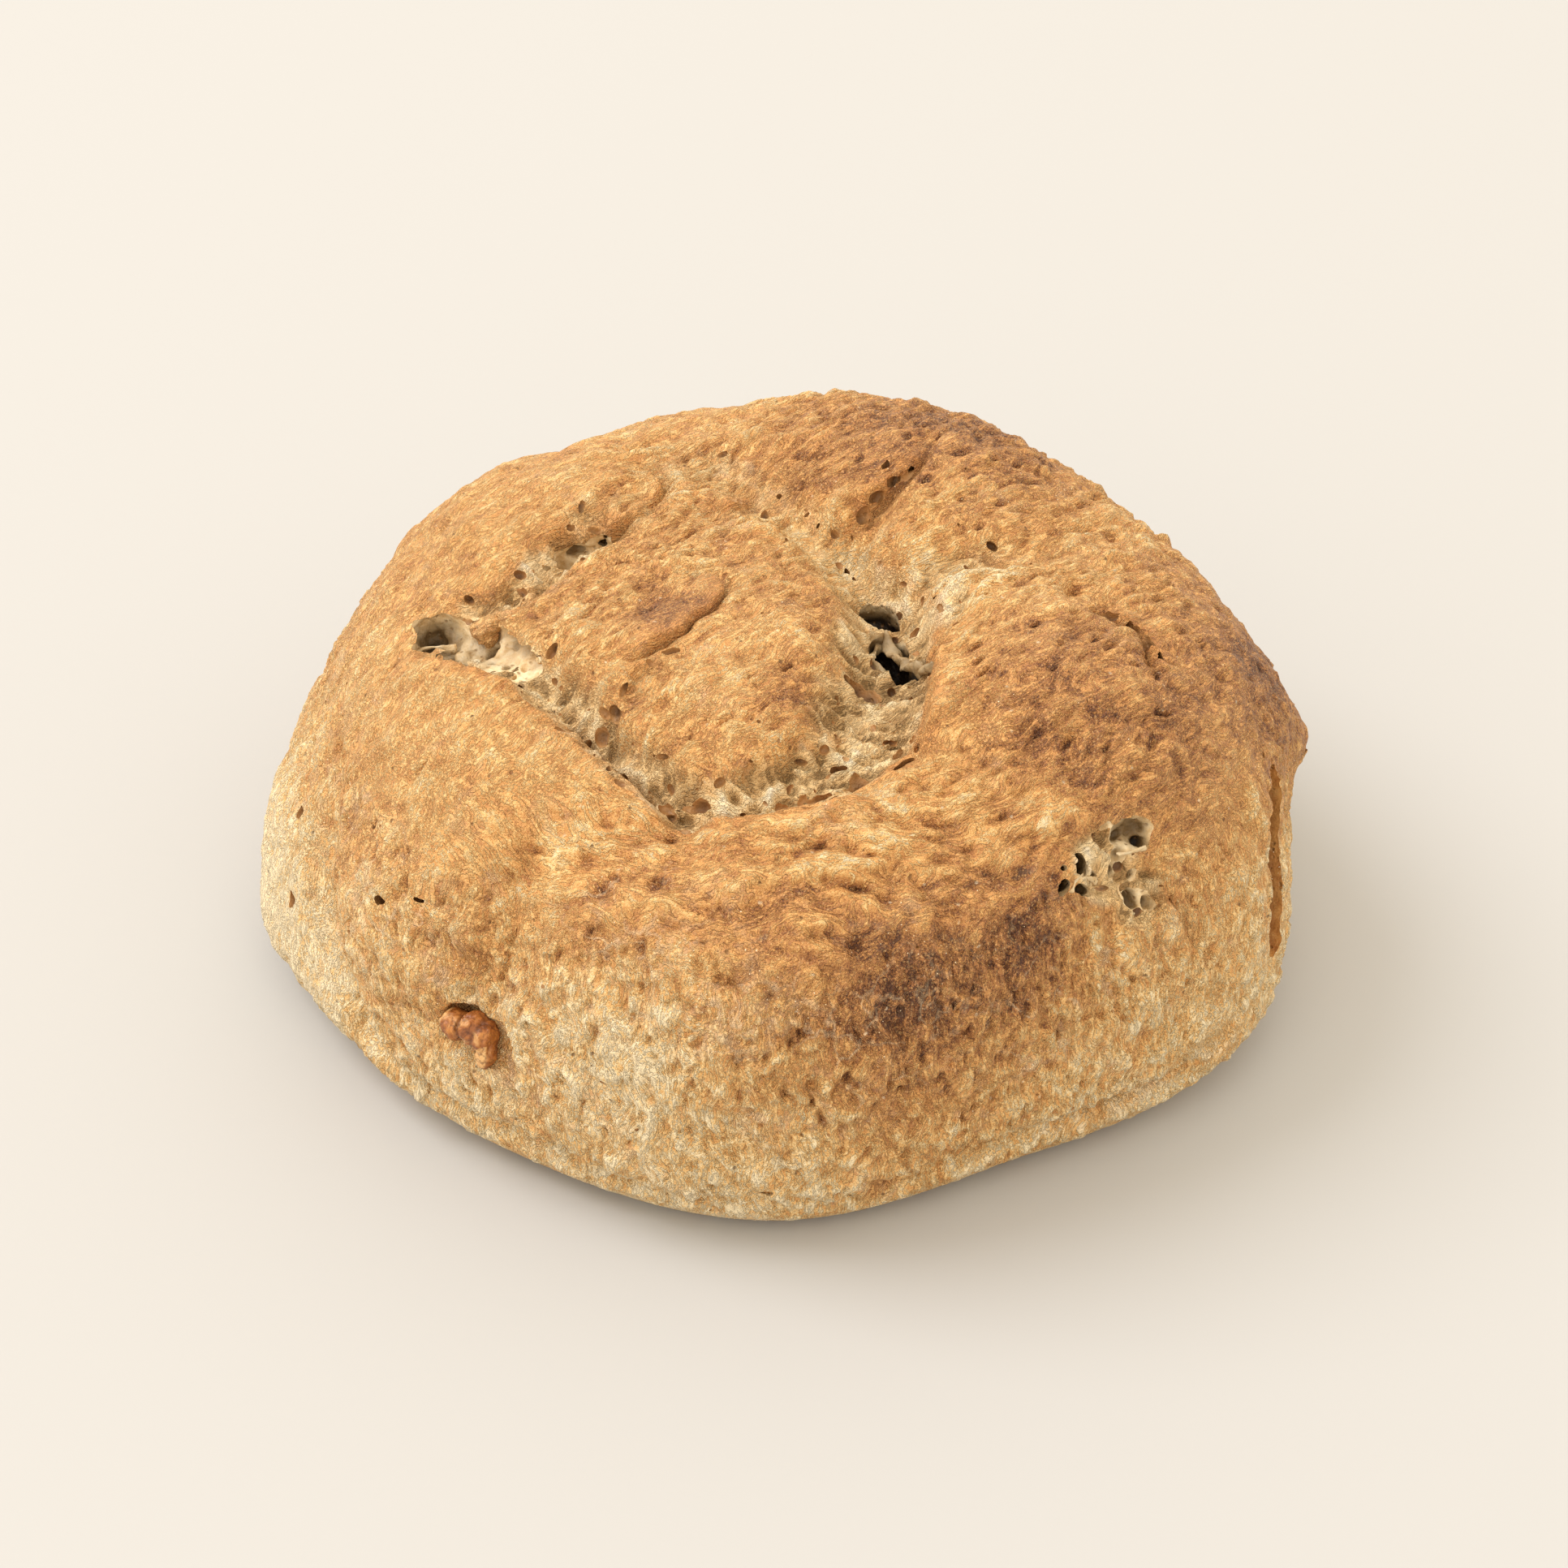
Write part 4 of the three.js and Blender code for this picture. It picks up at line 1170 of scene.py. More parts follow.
def make_crust():
    material, tree, surface, where = new_material("baked_crust")
    bake, torn, wall, front, flour, edge, raised, tone, webby, calm = [attribute(tree, name) for name in (
        "bake", "torn", "wall", "front", "flour", "edge", "raised", "tone", "webby", "calm")]
    fine_skin = use_group(tree, stretched_skin, {
        "Vector": where, "Wall": wall, "Front": front, "Width": 0.00065, "Length": 0.0032})
    fibre = fine_skin["Streaks"]
    thread = fine_skin["Threads"]
    small = use_group(tree, mottle, {"Vector": where, "Size": 0.0022})
    pores = speckled(tree, where, 0.0036, 0.12, 0.35)
    sand = speckled(tree, where, 0.00066, 0.5, 0.7)
    specks = speckled(tree, where, 0.0031, 0.15, 0.3)

    def shifted(level, value, amount):
        return plus(tree, level, times(tree, sums(tree, "SUBTRACT", value, 0.5), amount))

    # Fibre streaks: real streaky tone, plus painted crease shade, darker where the bump below sinks them and
    # paler where it raises them.
    level = shifted(bake, fibre, spread(tree, calm, 0.0, 1.0, -0.24, -0.22))
    level = shifted(level, small["Patches"], spread(tree, calm, 0.0, 1.0, 0.24, 0.26))
    level = shifted(level, small["Grain"], spread(tree, calm, 0.0, 1.0, 0.32, 0.28))
    thread_share = times(tree, thread, spread(tree, webby, 0.0, 1.0, 0.10, 0.30))
    level = sums(tree, "SUBTRACT", level, thread_share)
    level = plus(tree, level, times(tree, edge, 0.08))
    colour = colour_steps(tree, level, CRUST_STEPS)

    sand_share = times(tree, sand, spread(tree, bake, 0.15, 0.6, 0.15, 0.6))
    colour = blend_colours(tree, sand_share, colour, shade(236, 188, 128))
    dust_share = times(tree, flour, spread(tree, small["Patches"], 0.35, 0.75), clamp=True)
    dust_share = times(tree, dust_share, spread(tree, bake, 0.4, 0.75, 0.6, 0.05))
    colour = blend_colours(tree, dust_share, colour, shade(250, 230, 196))
    bent = bend(tree, where, 260.0, 2.0, 0.006, middle=0.0)
    lines = place_node(tree, "ShaderNodeTexVoronoi", {"Vector": bent, "Scale": 110.0},
                       feature="DISTANCE_TO_EDGE")
    vein = spread(tree, lines.outputs["Distance"], 0.05, 0.0)
    vein = times(tree, vein, attribute(tree, "veins"), clamp=True)
    vein = times(tree, vein, spread(tree, tone, -0.5, 0.4), clamp=True)
    colour = blend_colours(tree, times(tree, vein, 0.7), colour, shade(246, 222, 184))
    colour = blend_colours(tree, times(tree, specks, 0.6), colour, shade(250, 232, 202))

    # Open crumb: painted shade, darker olive in the crumb relief's hollows and paler on its tops, with
    # streaks and patches of real tone.
    crumb_hollow_shade = plus(tree, spread(tree, attribute(tree, "crumb"), -1.6, 1.6, -0.15, 0.85),
                    times(tree, plus(tree, fibre, small["Patches"]), 0.18))
    opened_crumb_shaded = colour_steps(tree, crumb_hollow_shade, [
        (0.02, shade(156, 124, 80)), (0.18, shade(212, 176, 124)), (0.36, shade(240, 208, 156)),
        (0.60, shade(248, 228, 186)), (0.90, shade(253, 242, 216))])
    streaky = times(tree, torn, spread(tree, raised, -0.4, 0.9, 1.0, 0.7), clamp=True)
    colour = blend_colours(tree, streaky, colour, opened_crumb_shaded)
    # Painted glow: thin lip edges get an orange as if light shone through them; above, they are also made a
    # little browner.
    edge_glow_share = times(tree, edge, spread(tree, small["Patches"], 0.0, 0.8, 0.7, 0.3), clamp=True)
    colour = blend_colours(tree, edge_glow_share, colour, shade(224, 154, 86))
    # Painted shade on the sunk floor before a torn lip, under its overhang.
    colour = blend_colours(tree, times(tree, attribute(tree, "floor"), 0.35), colour,
                           shade(180, 134, 86))
    # Pores: painted shade, dark brown spots where the bump below sinks small holes.
    colour = blend_colours(tree, times(tree, pores, 0.75), colour, shade(122, 74, 42))
    base = times(tree, attribute(tree, "base"), 0.8)
    under = colour_steps(tree, spread(tree, tone, -1.0, 1.0), [
        (0.0, shade(176, 118, 70)), (1.0, shade(226, 178, 124))])
    colour = blend_colours(tree, base, colour, under)
    tree.links.new(colour, surface.inputs["Base Color"])

    roughness = spread(tree, level, 0.2, 0.9, 0.62, 0.42)
    roughness = plus(tree, roughness, times(tree, dust_share, 0.25), clamp=True)
    tree.links.new(roughness, surface.inputs["Roughness"])
    surface.inputs["Specular IOR Level"].default_value = 0.42

    height = times(tree, fibre, 0.45)
    height = plus(tree, height, times(tree, thread, 0.40))
    height = plus(tree, height, times(tree, small["Grain"], 0.30))
    height = sums(tree, "SUBTRACT", height, times(tree, pores, 0.9))
    height = plus(tree, height, times(tree, sand, 0.12))
    raise_surface(tree, surface, height, 1.0, 0.0008)
    return material


def make_crumb(name, pale, middle, dark, depth_shade_colour, from_depth, to_depth):
    """Crumb that turns from its three surface colours to a painted shade colour between two depths, and to
    near black deeper still: painted shade in its hollows and holes.
    """
    material, tree, surface, where = new_material(name)
    shade_depth = attribute(tree, "shade_depth")
    patches = use_group(tree, mottle, {"Vector": where, "Size": 0.0026})
    pores = speckled(tree, where, 0.0015, 0.36, 0.5)
    colour = colour_steps(tree, patches["Patches"], [(0.1, dark), (0.5, middle), (0.9, pale)])
    uneven = plus(tree, shade_depth, times(tree, patches["Patches"], 0.8))
    sunk = spread(tree, uneven, from_depth, to_depth, 0.0, 0.94)
    colour = blend_colours(tree, sunk, colour, depth_shade_colour)
    # Painted shadow: near black deep in the cavities.
    colour = blend_colours(tree, spread(tree, shade_depth, 6.0, 10.0), colour, shade(34, 22, 13))
    # Pores: painted shade in small darker spots, sunk by the bump below.
    colour = blend_colours(tree, times(tree, pores, 0.75), colour, shade(132, 96, 56))
    tree.links.new(colour, surface.inputs["Base Color"])
    tree.links.new(spread(tree, patches["Grain"], 0.0, 1.0, 0.42, 0.62), surface.inputs["Roughness"])
    surface.inputs["Specular IOR Level"].default_value = 0.4
    height = sums(tree, "SUBTRACT", times(tree, patches["Patches"], 0.5),
                  times(tree, pores, 0.6))
    height = plus(tree, height, times(tree, patches["Grain"], 0.15))
    raise_surface(tree, surface, height, 0.8, 0.0005)
    return material


def make_walnut_skin():
    material, tree, surface, where = new_material("walnut_kernel")
    broken = attribute(tree, "broken")
    patches = use_group(tree, mottle, {"Vector": where, "Size": 0.0028})
    colour = colour_steps(tree, patches["Patches"], [
        (0.0, shade(104, 54, 22)), (0.45, shade(154, 90, 38)), (1.0, shade(200, 134, 66))])
    pale = colour_steps(tree, patches["Grain"], [(0.0, shade(198, 142, 82)), (1.0, shade(236, 192, 132))])
    colour = blend_colours(tree, broken, colour, pale)
    # Painted shade, dark brown in the kernel's creases and wrinkles.
    colour = blend_colours(tree, attribute(tree, "crease_shade"), colour, shade(76, 36, 14))
    tree.links.new(colour, surface.inputs["Base Color"])
    tree.links.new(spread(tree, patches["Grain"], 0.0, 1.0, 0.34, 0.5), surface.inputs["Roughness"])
    height = plus(tree, times(tree, patches["Patches"], 0.5),
                  times(tree, patches["Grain"], 0.2))
    raise_surface(tree, surface, height, 0.7, 0.0004)
    return material


def make_flour_material():
    material, tree, surface, where = new_material("flour")
    patches = use_group(tree, mottle, {"Vector": where, "Size": 0.002})
    colour = colour_steps(tree, patches["Patches"], [
        (0.0, shade(236, 208, 164)), (1.0, shade(252, 238, 212))])
    tree.links.new(colour, surface.inputs["Base Color"])
    tree.links.new(spread(tree, patches["Grain"], 0.0, 1.0, 0.8, 0.95), surface.inputs["Roughness"])
    return material


crust_material = make_crust()
# Each crumb's last colour and two depths give its painted shade in hollows and holes.
crumb_material = make_crumb("open_crumb", shade(248, 231, 197), shade(237, 212, 170), shade(206, 172, 122),
                            shade(102, 78, 44), 1.8, 5.8)
pore_material = make_crumb("pore_wall", shade(214, 168, 112), shade(196, 146, 92), shade(168, 120, 72),
                           shade(88, 58, 32), 0.3, 2.0)
tear_material = make_crumb("tear_wall", shade(222, 168, 100), shade(200, 142, 78), shade(170, 112, 58),
                           shade(112, 66, 30), 1.4, 5.6)
walnut_material = make_walnut_skin()
flour_material = make_flour_material()


# ---- Scattering by geometry nodes --------------------------------------------------------------------
def scatter_tree(name, material, density_name):
    """Sets a small shape on the surface at spaced random places, turned and sized at random."""
    tree = bpy.data.node_groups.new(name, "GeometryNodeTree")
    sockets = {}
    for label, kind in (("Surface", "NodeSocketGeometry"), ("Shape", "NodeSocketObject"),
                        ("Spacing", "NodeSocketFloat"), ("Density", "NodeSocketFloat"),
                        ("Smallest", "NodeSocketVector"), ("Largest", "NodeSocketVector"),
                        ("Sunk", "NodeSocketFloat"), ("Seed", "NodeSocketInt")):
        sockets[label] = tree.interface.new_socket(label, in_out="INPUT", socket_type=kind).identifier
    tree.interface.new_socket("Surface", in_out="OUTPUT", socket_type="NodeSocketGeometry")
    given = tree.nodes.new("NodeGroupInput").outputs
    share = place_node(tree, "GeometryNodeInputNamedAttribute", {"Name": density_name}, data_type="FLOAT")
    spots = place_node(tree, "GeometryNodeDistributePointsOnFaces", {
        "Mesh": given["Surface"], "Distance Min": given["Spacing"], "Density Max": given["Density"],
        "Density Factor": share.outputs["Attribute"], "Seed": given["Seed"]},
        distribute_method="POISSON")
    inward = place_node(tree, "ShaderNodeVectorMath", {
        0: spots.outputs["Normal"], "Scale": given["Sunk"]}, operation="SCALE")
    sunk = place_node(tree, "GeometryNodeSetPosition", {
        "Geometry": spots.outputs["Points"], "Offset": inward.outputs[0]})
    size = place_node(tree, "FunctionNodeRandomValue", {
        0: given["Smallest"], 1: given["Largest"], "Seed": given["Seed"]}, data_type="FLOAT_VECTOR")
    spin = place_node(tree, "FunctionNodeRandomValue", {
        0: (0, 0, 0), 1: (0.4, 0.4, 6.283), "Seed": given["Seed"]}, data_type="FLOAT_VECTOR")
    turn = place_node(tree, "FunctionNodeRotateRotation", {
        0: spots.outputs["Rotation"], 1: spin.outputs[0]}, rotation_space="LOCAL")
    shape = place_node(tree, "GeometryNodeObjectInfo", {"Object": given["Shape"]})
    copies = place_node(tree, "GeometryNodeInstanceOnPoints", {
        "Points": sunk.outputs["Geometry"], "Instance": shape.outputs["Geometry"],
        "Rotation": turn.outputs[0], "Scale": size.outputs[0]})
    real = place_node(tree, "GeometryNodeRealizeInstances", {"Geometry": copies.outputs["Instances"]})
    dressed = place_node(tree, "GeometryNodeSetMaterial", {
        "Geometry": real.outputs["Geometry"], "Material": material})
    sink = tree.nodes.new("NodeGroupOutput")
    tree.links.new(dressed.outputs["Geometry"], sink.inputs["Surface"])
    return tree, sockets


def scattered(name, surface_object, tree, sockets, values):
    """The plain mesh object that a scatter tree makes on a copy of the surface."""
    carrier = add_object(name, surface_object.data.copy())
    modifier = carrier.modifiers.new("scatter", "NODES")
    modifier.node_group = tree
    for label, value in values.items():
        modifier[sockets[label]] = value
    carrier.update_tag()
    result = evaluated_mesh(carrier)
    carrier.modifiers.remove(modifier)
    change_mesh(carrier, result)
    return carrier


def grain_shape(name, subdivisions, seed):
    """An uneven little ball of radius 1."""
    shape = bmesh.new()
    bmesh.ops.create_icosphere(shape, subdivisions=subdivisions, radius=1)
    for vertex in shape.verts:
        p = np.array(vertex.co)[None]
        vertex.co *= 1 + 0.16 * float(noise(p * 1.3, 1.0, seed)[0])
    mesh = bpy.data.meshes.new(name)
    shape.to_mesh(mesh)
    shape.free()
    return add_object(name, mesh)


# ---- The loaf ----------------------------------------------------------------------------------------
PORE_WALL = 2  # place of the pore wall's material in the slots
# Holes scattered over the skin: name, attribute that says where, rounds of subdivision, spacing and
# density in metres, smallest and largest half sizes, seed.
SMALL_HOLES = [
    ("bubbles", "bubble_share", 2, 0.0040, 36000.0, (0.0007, 0.0005, 0.0008), (0.0019, 0.0011, 0.0016), 31),
    ("pores", "pore_share", 1, 0.0019, 52000.0, (0.00024, 0.00022, 0.0003), (0.00075, 0.0005, 0.0009), 12),
]
# The painted shade of small holes, for each mm of their depth.
SMALL_HOLE_SHADE_GAIN = 1.5  # small holes look darker than their depth
SHARP_ANGLE = math.radians(68)


def material_slots(thing, index):
    """Gives a thing the loaf's materials, and one of them to all its faces or to each."""
    thing.data.materials.clear()
    for material in (crust_material, crumb_material, pore_material, tear_material):
        thing.data.materials.append(material)
    each = np.broadcast_to(index, len(thing.data.polygons)).astype(np.int32)
    thing.data.polygons.foreach_set("material_index", each)


def whole_crust():
    """The crust as one closed mesh, with its pockets, bubbles and pores cut into it."""
    points, normals, sections, faces = ring_mesh()
    moved, skin = crust_relief(points, normals, sections)
    whole = mesh_object("whole_crust", moved, faces)
    material_slots(whole, 0)
    visible = (1 - skin["base"]) * (sections < 1.6)
    clusters = ease(noise(points, 13, 33), -0.1, 0.5) * (0.3 + 0.7 * ease(noise(points, 5, 34), -0.2, 0.4))
    set_attribute(whole.data, "pore_share", (0.02 + 0.25 * skin["torn"] + 0.24 * clusters) * visible)
    set_attribute(whole.data, "bubble_share", skin["torn"] * visible * (points[:, 2] > 50))
    memory = KDTree(len(moved))
    for i, p in enumerate(moved):
        memory.insert(p, i)
    memory.balance()

    pocket_parts = {name: pocket_points(name) for name in POCKETS}
    pockets = mesh_object("pockets", *join_arrays(pocket_parts.values()))
    skins = [np.full(len(quads), POCKET_FINISH[name][0]) for name, (_, quads) in pocket_parts.items()]
    material_slots(pockets, np.concatenate(skins))
    cutters = [pockets]
    for name, share, rounds, spacing, density, smallest, largest, seed in SMALL_HOLES:
        ball = grain_shape("pore_shape", rounds, 3)
        tree, sockets = scatter_tree("scatter_" + name, crumb_material, share)
        cutter = scattered(name, whole, tree, sockets, {
            "Shape": ball, "Spacing": spacing, "Density": density, "Smallest": smallest,
            "Largest": largest, "Sunk": 0.0001, "Seed": seed})
        material_slots(cutter, PORE_WALL)
        cutters.append(cutter)
        bpy.data.objects.remove(ball)
    for cutter in cutters:
        cut(whole, cutter)

    mesh = whole.data
    now = vertex_array(mesh)
    nearest = np.empty(len(now), int)
    away = np.empty(len(now))
    for i, p in enumerate(now):
        _, nearest[i], away[i] = memory.find(p)
    for name, values in skin.items():
        set_attribute(mesh, name, values[nearest])
    # The depth below the crust, scaled for each pocket, sets the painted shade of the crumb materials.
    depth_shade_gain = np.full(len(now), SMALL_HOLE_SHADE_GAIN)
    for name, (skin_points, _) in pocket_parts.items():
        inside = ((now > skin_points.min(0)) & (now < skin_points.max(0))).all(1)
        depth_shade_gain[inside] = POCKET_FINISH[name][3]
    set_attribute(mesh, "shade_depth", away * depth_shade_gain)
    mesh.shade_smooth()
    mesh.set_sharp_from_angle(angle=SHARP_ANGLE)
    return whole


CROWN_EDGE = 56  # height where the crown's pieces meet the wall's
CRUST_PIECES = ("crust_crown_left", "crust_crown_right", "crust_front", "crust_back")


def crust_pieces(whole):
    """The crust as four pieces that meet point to point and keep the whole's own normals."""
    mesh = whole.data
    points = vertex_array(mesh)
    corners = read_all(mesh.loops, "vertex_index")
    starts = read_all(mesh.polygons, "loop_start")
    counts = read_all(mesh.polygons, "loop_total")
    slots = read_all(mesh.polygons, "material_index")
    normals = read_all(mesh.corner_normals, "vector", np.float32, 3)
    middles = np.add.reduceat(points[corners], starts) / counts[:, None]
    lower = np.where(middles[:, 1] < 0, 2, 3)
    group = np.where(middles[:, 2] > CROWN_EDGE, np.where(middles[:, 0] < 0, 0, 1), lower)
    corner_group = np.repeat(group, counts)
    made = []
    for number, name in enumerate(CRUST_PIECES):
        used, own = np.unique(corners[corner_group == number], return_inverse=True)
        ends = np.cumsum(counts[group == number])
        faces = [list(f) for f in np.split(own.reshape(-1), ends[:-1])]
        piece = mesh_object(name, points[used], faces)
        material_slots(piece, slots[group == number])
        for layer in mesh.attributes:
            if layer.domain == "POINT" and layer.data_type == "FLOAT":
                set_attribute(piece.data, layer.name, read_all(layer.data, "value", np.float32)[used])
        piece.data.shade_smooth()
        piece.data.normals_split_custom_set(normals[corner_group == number])
        print(name, "triangles", int((counts[group == number] - 2).sum()))
        made.append(piece)
    return made


# ---- Crumb, strands and the browned tuft -------------------------------------------------------------
STRAND_PITCH = 0.28
TUFT_PITCH = 0.34


def sunk_line(steps):
    """World points of a strand given as (place, depth below the finished surface)."""
    return np.array([p.world(0, 0, surface_lift(p) - depth) for p, depth in steps])


# Strands: places and depths, half widths, half thickness, twist for each mm, roughness, depth of painted
# shade.
STRANDS = [([(place(a, b), depth) for a, b, depth in steps], *sizes) for place, steps, *sizes in (
    (crown, [(20.2, -2.6, 1.2), (20.2, -5.5, 1.5), (21.2, -9.5, 2.6), (23.0, -14, 2.6), (25.2, -19, 2.0),
             (28.4, -25.5, 1.4)], [1.3, 1.6, 1.7, 1.4, 1.3, 1.0], 0.6, 0.4, 0.5, 4.4),
    (crown, [(19.6, -6.5, 3.2), (17.9, -10, 3.2), (18.2, -14, 3.4), (20.8, -17.2, 3.4)],
     [1.0, 1.2, 1.1, 0.8], 0.4, 0.6, 0.35, 4.0),
    (side, [(316.2, 62.9, 0.2), (318.0, 62.3, 0.8), (320.2, 62.0, 0.2)],
     [0.7, 0.3, 0.7], 0.25, 0.3, 0.1, 2.6),
    (side, [(309.2, 63.0, 1.2), (310.6, 61.9, 1.6), (312.4, 60.2, 1.2)],
     [0.8, 0.3, 0.8], 0.25, 0.4, 0.15, 3.0),
    (side, [(308.4, 60.4, 1.2), (309.6, 61.4, 1.7), (311.0, 62.0, 1.4)],
     [0.7, 0.3, 0.7], 0.25, 0.3, 0.15, 3.0),
    (crown, [(-67.6, -6.6, 3.0), (-64.6, -6.8, 3.8), (-61.5, -7.6, 3.8)],
     [1.0, 0.4, 1.0], 0.35, 0.3, 0.3, 3.0),
)]


def build_strands():
    """Ragged strips of crumb that hang across the pockets."""
    parts = []
    depths = []
    for steps, widths, thin, twist, rough, shade_depth in STRANDS:
        line = curve_through(sunk_line(steps), False, 5)
        wide = np.interp(np.linspace(0, 1, len(line)), np.linspace(0, 1, len(widths)), widths)

        def distance(points, line=line, wide=wide, thin=thin, twist=twist, rough=rough):
            d = strip_distance(points, line, wide, thin, twist)
            near = np.abs(d) < 1.5
            d[near] += rough * noise(points[near], 2.2, 21) + 0.35 * rough * noise(points[near], 1.0, 22)
            return d

        parts.append(mould(distance, line.min(0) - 3, line.max(0) + 3, STRAND_PITCH))
        depths.append(np.full(len(parts[-1][0]), shade_depth))
    points, faces = join_arrays(parts)
    piece = mesh_object("crumb_strands", points, faces, [crumb_material])
    set_attribute(piece.data, "shade_depth", np.concatenate(depths) + 1.2 * noise(points, 2.5, 26))
    piece.data.shade_smooth()
    return piece


TUFT_SKIN = {
    "bake": 0.42, "torn": 0.1, "edge": 0.25, "flour": 0.1, "webby": 0.3, "raised": 0.0, "crumb": 0.0,
    "floor": 0.0, "wall": 0.0, "front": 0.0, "veins": 0.0, "tone": 0.0, "calm": 0.0, "base": 0.0,
}


def build_tuft():
    """The rough browned scrap of crumb that stands in the left pocket."""
    lifted, centres = lifted_eggs(eggs(
        crown, (-54.6, -6.4, 1.0, (2.4, 1.6, 1.7), 0), (-51.6, -7.6, 0.7, (2.2, 1.7, 1.5), 0),
        (-49.2, -7.8, 0.9, (1.5, 1.4, 1.3), 0), (-54.6, -8.2, 2.4, (1.7, 1.4, 2.2), 0)))

    def distance(points):
        d = soft_least([egg_distance(points, *egg) for egg in lifted], 0.8)
        first, _ = bubbles(points, 1.7, 24)
        return d + 0.5 * noise(points, 2.0, 25) + 0.7 * (0.5 - ease(first, 0.1, 0.6))

    points, quads = mould(distance, centres.min(0) - 5, centres.max(0) + 5, TUFT_PITCH)
    piece = mesh_object("browned_tuft", points, quads, [crust_material])
    for key, value in TUFT_SKIN.items():
        set_attribute(piece.data, key, np.full(len(points), value))
    piece.data.shade_smooth()
    return piece


# ---- The walnut --------------------------------------------------------------------------------------
WALNUT_PLACE = side(232, 32.2)
WALNUT_PITCH = 0.25


def build_walnut():
    """The broken kernel in the side: three lobes, a leg, a cut end and wrinkled skin."""
    def parts(points):
        q = WALNUT_PLACE.local(points)
        left = oval_distance(q - (-3.4, 0.1, -0.7), (3.5, 2.7, 3.0))
        left = np.maximum(left, -q[:, 0] - 6.2 + 0.3 * q[:, 1])
        middle = oval_distance(q - (0.4, 1.2, -0.8), (2.6, 3.0, 3.4))
        knee = oval_distance(q - (2.8, 0.4, -0.8), (2.1, 2.8, 3.0))
        leg = oval_distance(q - (3.5, -2.7, -0.5), (1.7, 3.2, 2.4))
        leg = np.maximum(leg, q[:, 2] - 1.4)
        return q, left, middle, knee, leg

    def distance(points):
        q, left, middle, knee, leg = parts(points)
        d = soft_least([left, middle, knee, leg], 0.35)
        hoops = np.exp(-(((q[:, 0] + 2.2 - 0.08 * q[:, 1] ** 2) / 1.4) ** 2))
        grooves = 0.3 * hoops * np.cos((q[:, 0] + 0.25 * q[:, 1]) * 6.5)
        wrinkle = np.abs(noise(q, (1.2, 3.4, 3.4), 15))
        fine = np.abs(noise(points, 1.3, 17))
        return d + 0.24 * noise(points, 2.2, 16) - 0.3 * fine - grooves * 0.7 - 0.4 * wrinkle + 0.15

    centre = WALNUT_PLACE.at
    points, quads = mould(distance, centre - 10, centre + 10, WALNUT_PITCH)
    piece = mesh_object("walnut_kernel", points, quads, [walnut_material])
    q, left, middle, knee, leg = parts(points)
    cut_end = 1 - ease(q[:, 0] - 0.3 * q[:, 1], -6.1, -5.6)
    leg_face = ease(q[:, 2], 0.8, 1.25) * (leg < knee + 0.5)
    patch = ease(noise(points, 2.0, 18), 0.05, 0.3) * ease(q[:, 2], -0.5, 1.6)
    # Painted shade: darker where the lobes meet and along the fine wrinkles.
    crease_shade = np.exp(-((left - middle) / 0.5) ** 2) + 0.5 * np.exp(-((knee - middle) / 0.35) ** 2)
    set_attribute(piece.data, "broken", np.clip(cut_end + leg_face + 0.5 * patch, 0, 1))
    crease_shade += 0.8 * ease(-np.abs(noise(points, 1.3, 17)), -0.12, 0.0)
    set_attribute(piece.data, "crease_shade", np.clip(crease_shade, 0, 1) * 0.8)
    piece.data.shade_smooth()
    return piece


# ---- Floor, light and camera -------------------------------------------------------------------------
FLOOR_REACH = 4000
CAMERA_AIM = (1.5, -0.9, 35)
CAMERA_TILT = math.radians(38)
CAMERA_DISTANCE = 708.3


def build_floor():
    corners = [(x * FLOOR_REACH, y * FLOOR_REACH, 0) for x, y in ((-1, -1), (1, -1), (1, 1), (-1, 1))]
    floor = mesh_object("floor", corners, [(0, 1, 2, 3)])
    material, _, surface, _ = new_material("pale_floor")
    surface.inputs["Base Color"].default_value = shade(190, 190, 191)
    surface.inputs["Roughness"].default_value = 0.9
    surface.inputs["Specular IOR Level"].default_value = 0.1
    floor.data.materials.append(material)


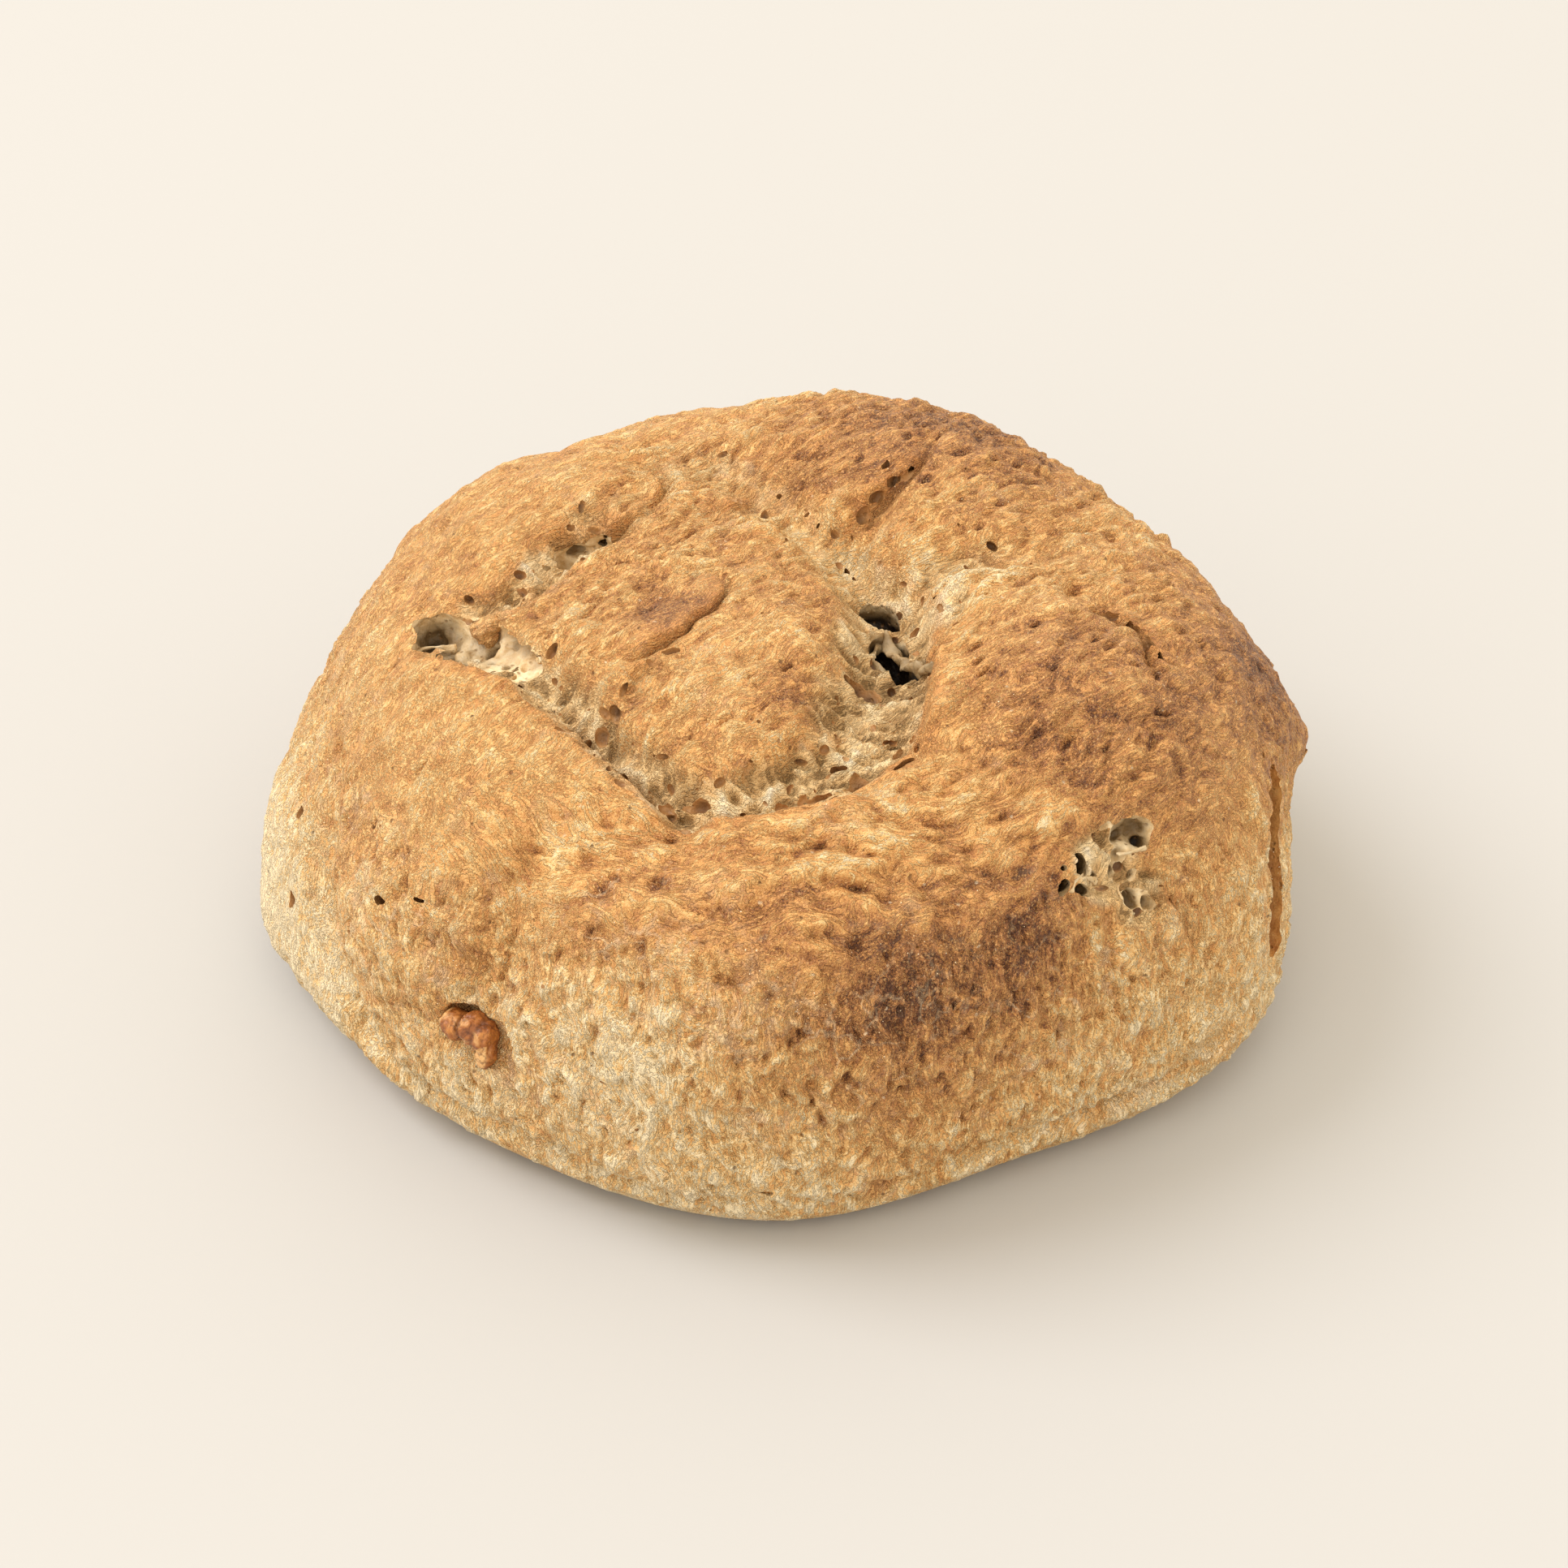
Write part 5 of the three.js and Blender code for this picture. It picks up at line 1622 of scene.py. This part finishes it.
def area_light(name, place, size, power, colour):
    data = bpy.data.lights.new(name, "AREA")
    data.shape = "DISK"
    data.size = size
    data.energy = power
    data.color = colour
    lamp = add_object(name, data)
    lamp.location = place
    lamp.rotation_euler = (Vector((0, 0, 0.04)) - Vector(place)).to_track_quat("-Z", "Y").to_euler()


def build_light():
    world = bpy.data.worlds.new("soft_room")
    world.use_nodes = True
    world.node_tree.nodes["Background"].inputs["Color"].default_value = (1.0, 0.905, 0.745, 1)
    world.node_tree.nodes["Background"].inputs["Strength"].default_value = 1.42
    scene.world = world
    area_light("key", (-3.7, 0.9, 4.7), 3.8, 190.0, (1.0, 1.0, 1.04))
    area_light("fill", (-1.4, -2.4, 1.8), 2.0, 6.0, (1.0, 0.98, 0.96))
    scene.view_settings.view_transform = "Standard"
    scene.view_settings.look = "None"


def build_camera():
    aim = Vector(CAMERA_AIM) * MM
    eye = aim + Vector((0, -math.cos(CAMERA_TILT), math.sin(CAMERA_TILT))) * CAMERA_DISTANCE * MM
    data = bpy.data.cameras.new("camera")
    data.lens = 85
    data.sensor_width = 36
    data.clip_start = 0.02
    camera = add_object("camera", data)
    camera.location = eye
    camera.rotation_euler = (aim - eye).to_track_quat("-Z", "Y").to_euler()
    scene.camera = camera


build_camera()
build_light()
build_floor()

whole = whole_crust()
strands = build_strands()
tuft = build_tuft()
walnut = build_walnut()

flake = grain_shape("flour_shape", 1, 8)
flour_tree, flour_sockets = scatter_tree("scatter_flour", flour_material, "flour")
flour = scattered("flour_grains", whole, flour_tree, flour_sockets, {
    "Shape": flake, "Spacing": 0.0008, "Density": 420000.0, "Smallest": (0.00007, 0.00006, 0.00004),
    "Largest": (0.00020, 0.00016, 0.00010), "Sunk": 0.0, "Seed": 5})
bpy.data.objects.remove(flake)
crust = crust_pieces(whole)
bpy.data.objects.remove(whole)
flour.data.shade_smooth()
print("flour faces", len(flour.data.polygons))

for piece in (*crust, strands, tuft, flour):
    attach(piece, "root")
    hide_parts("loaf")
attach(walnut, "root")
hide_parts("walnut")
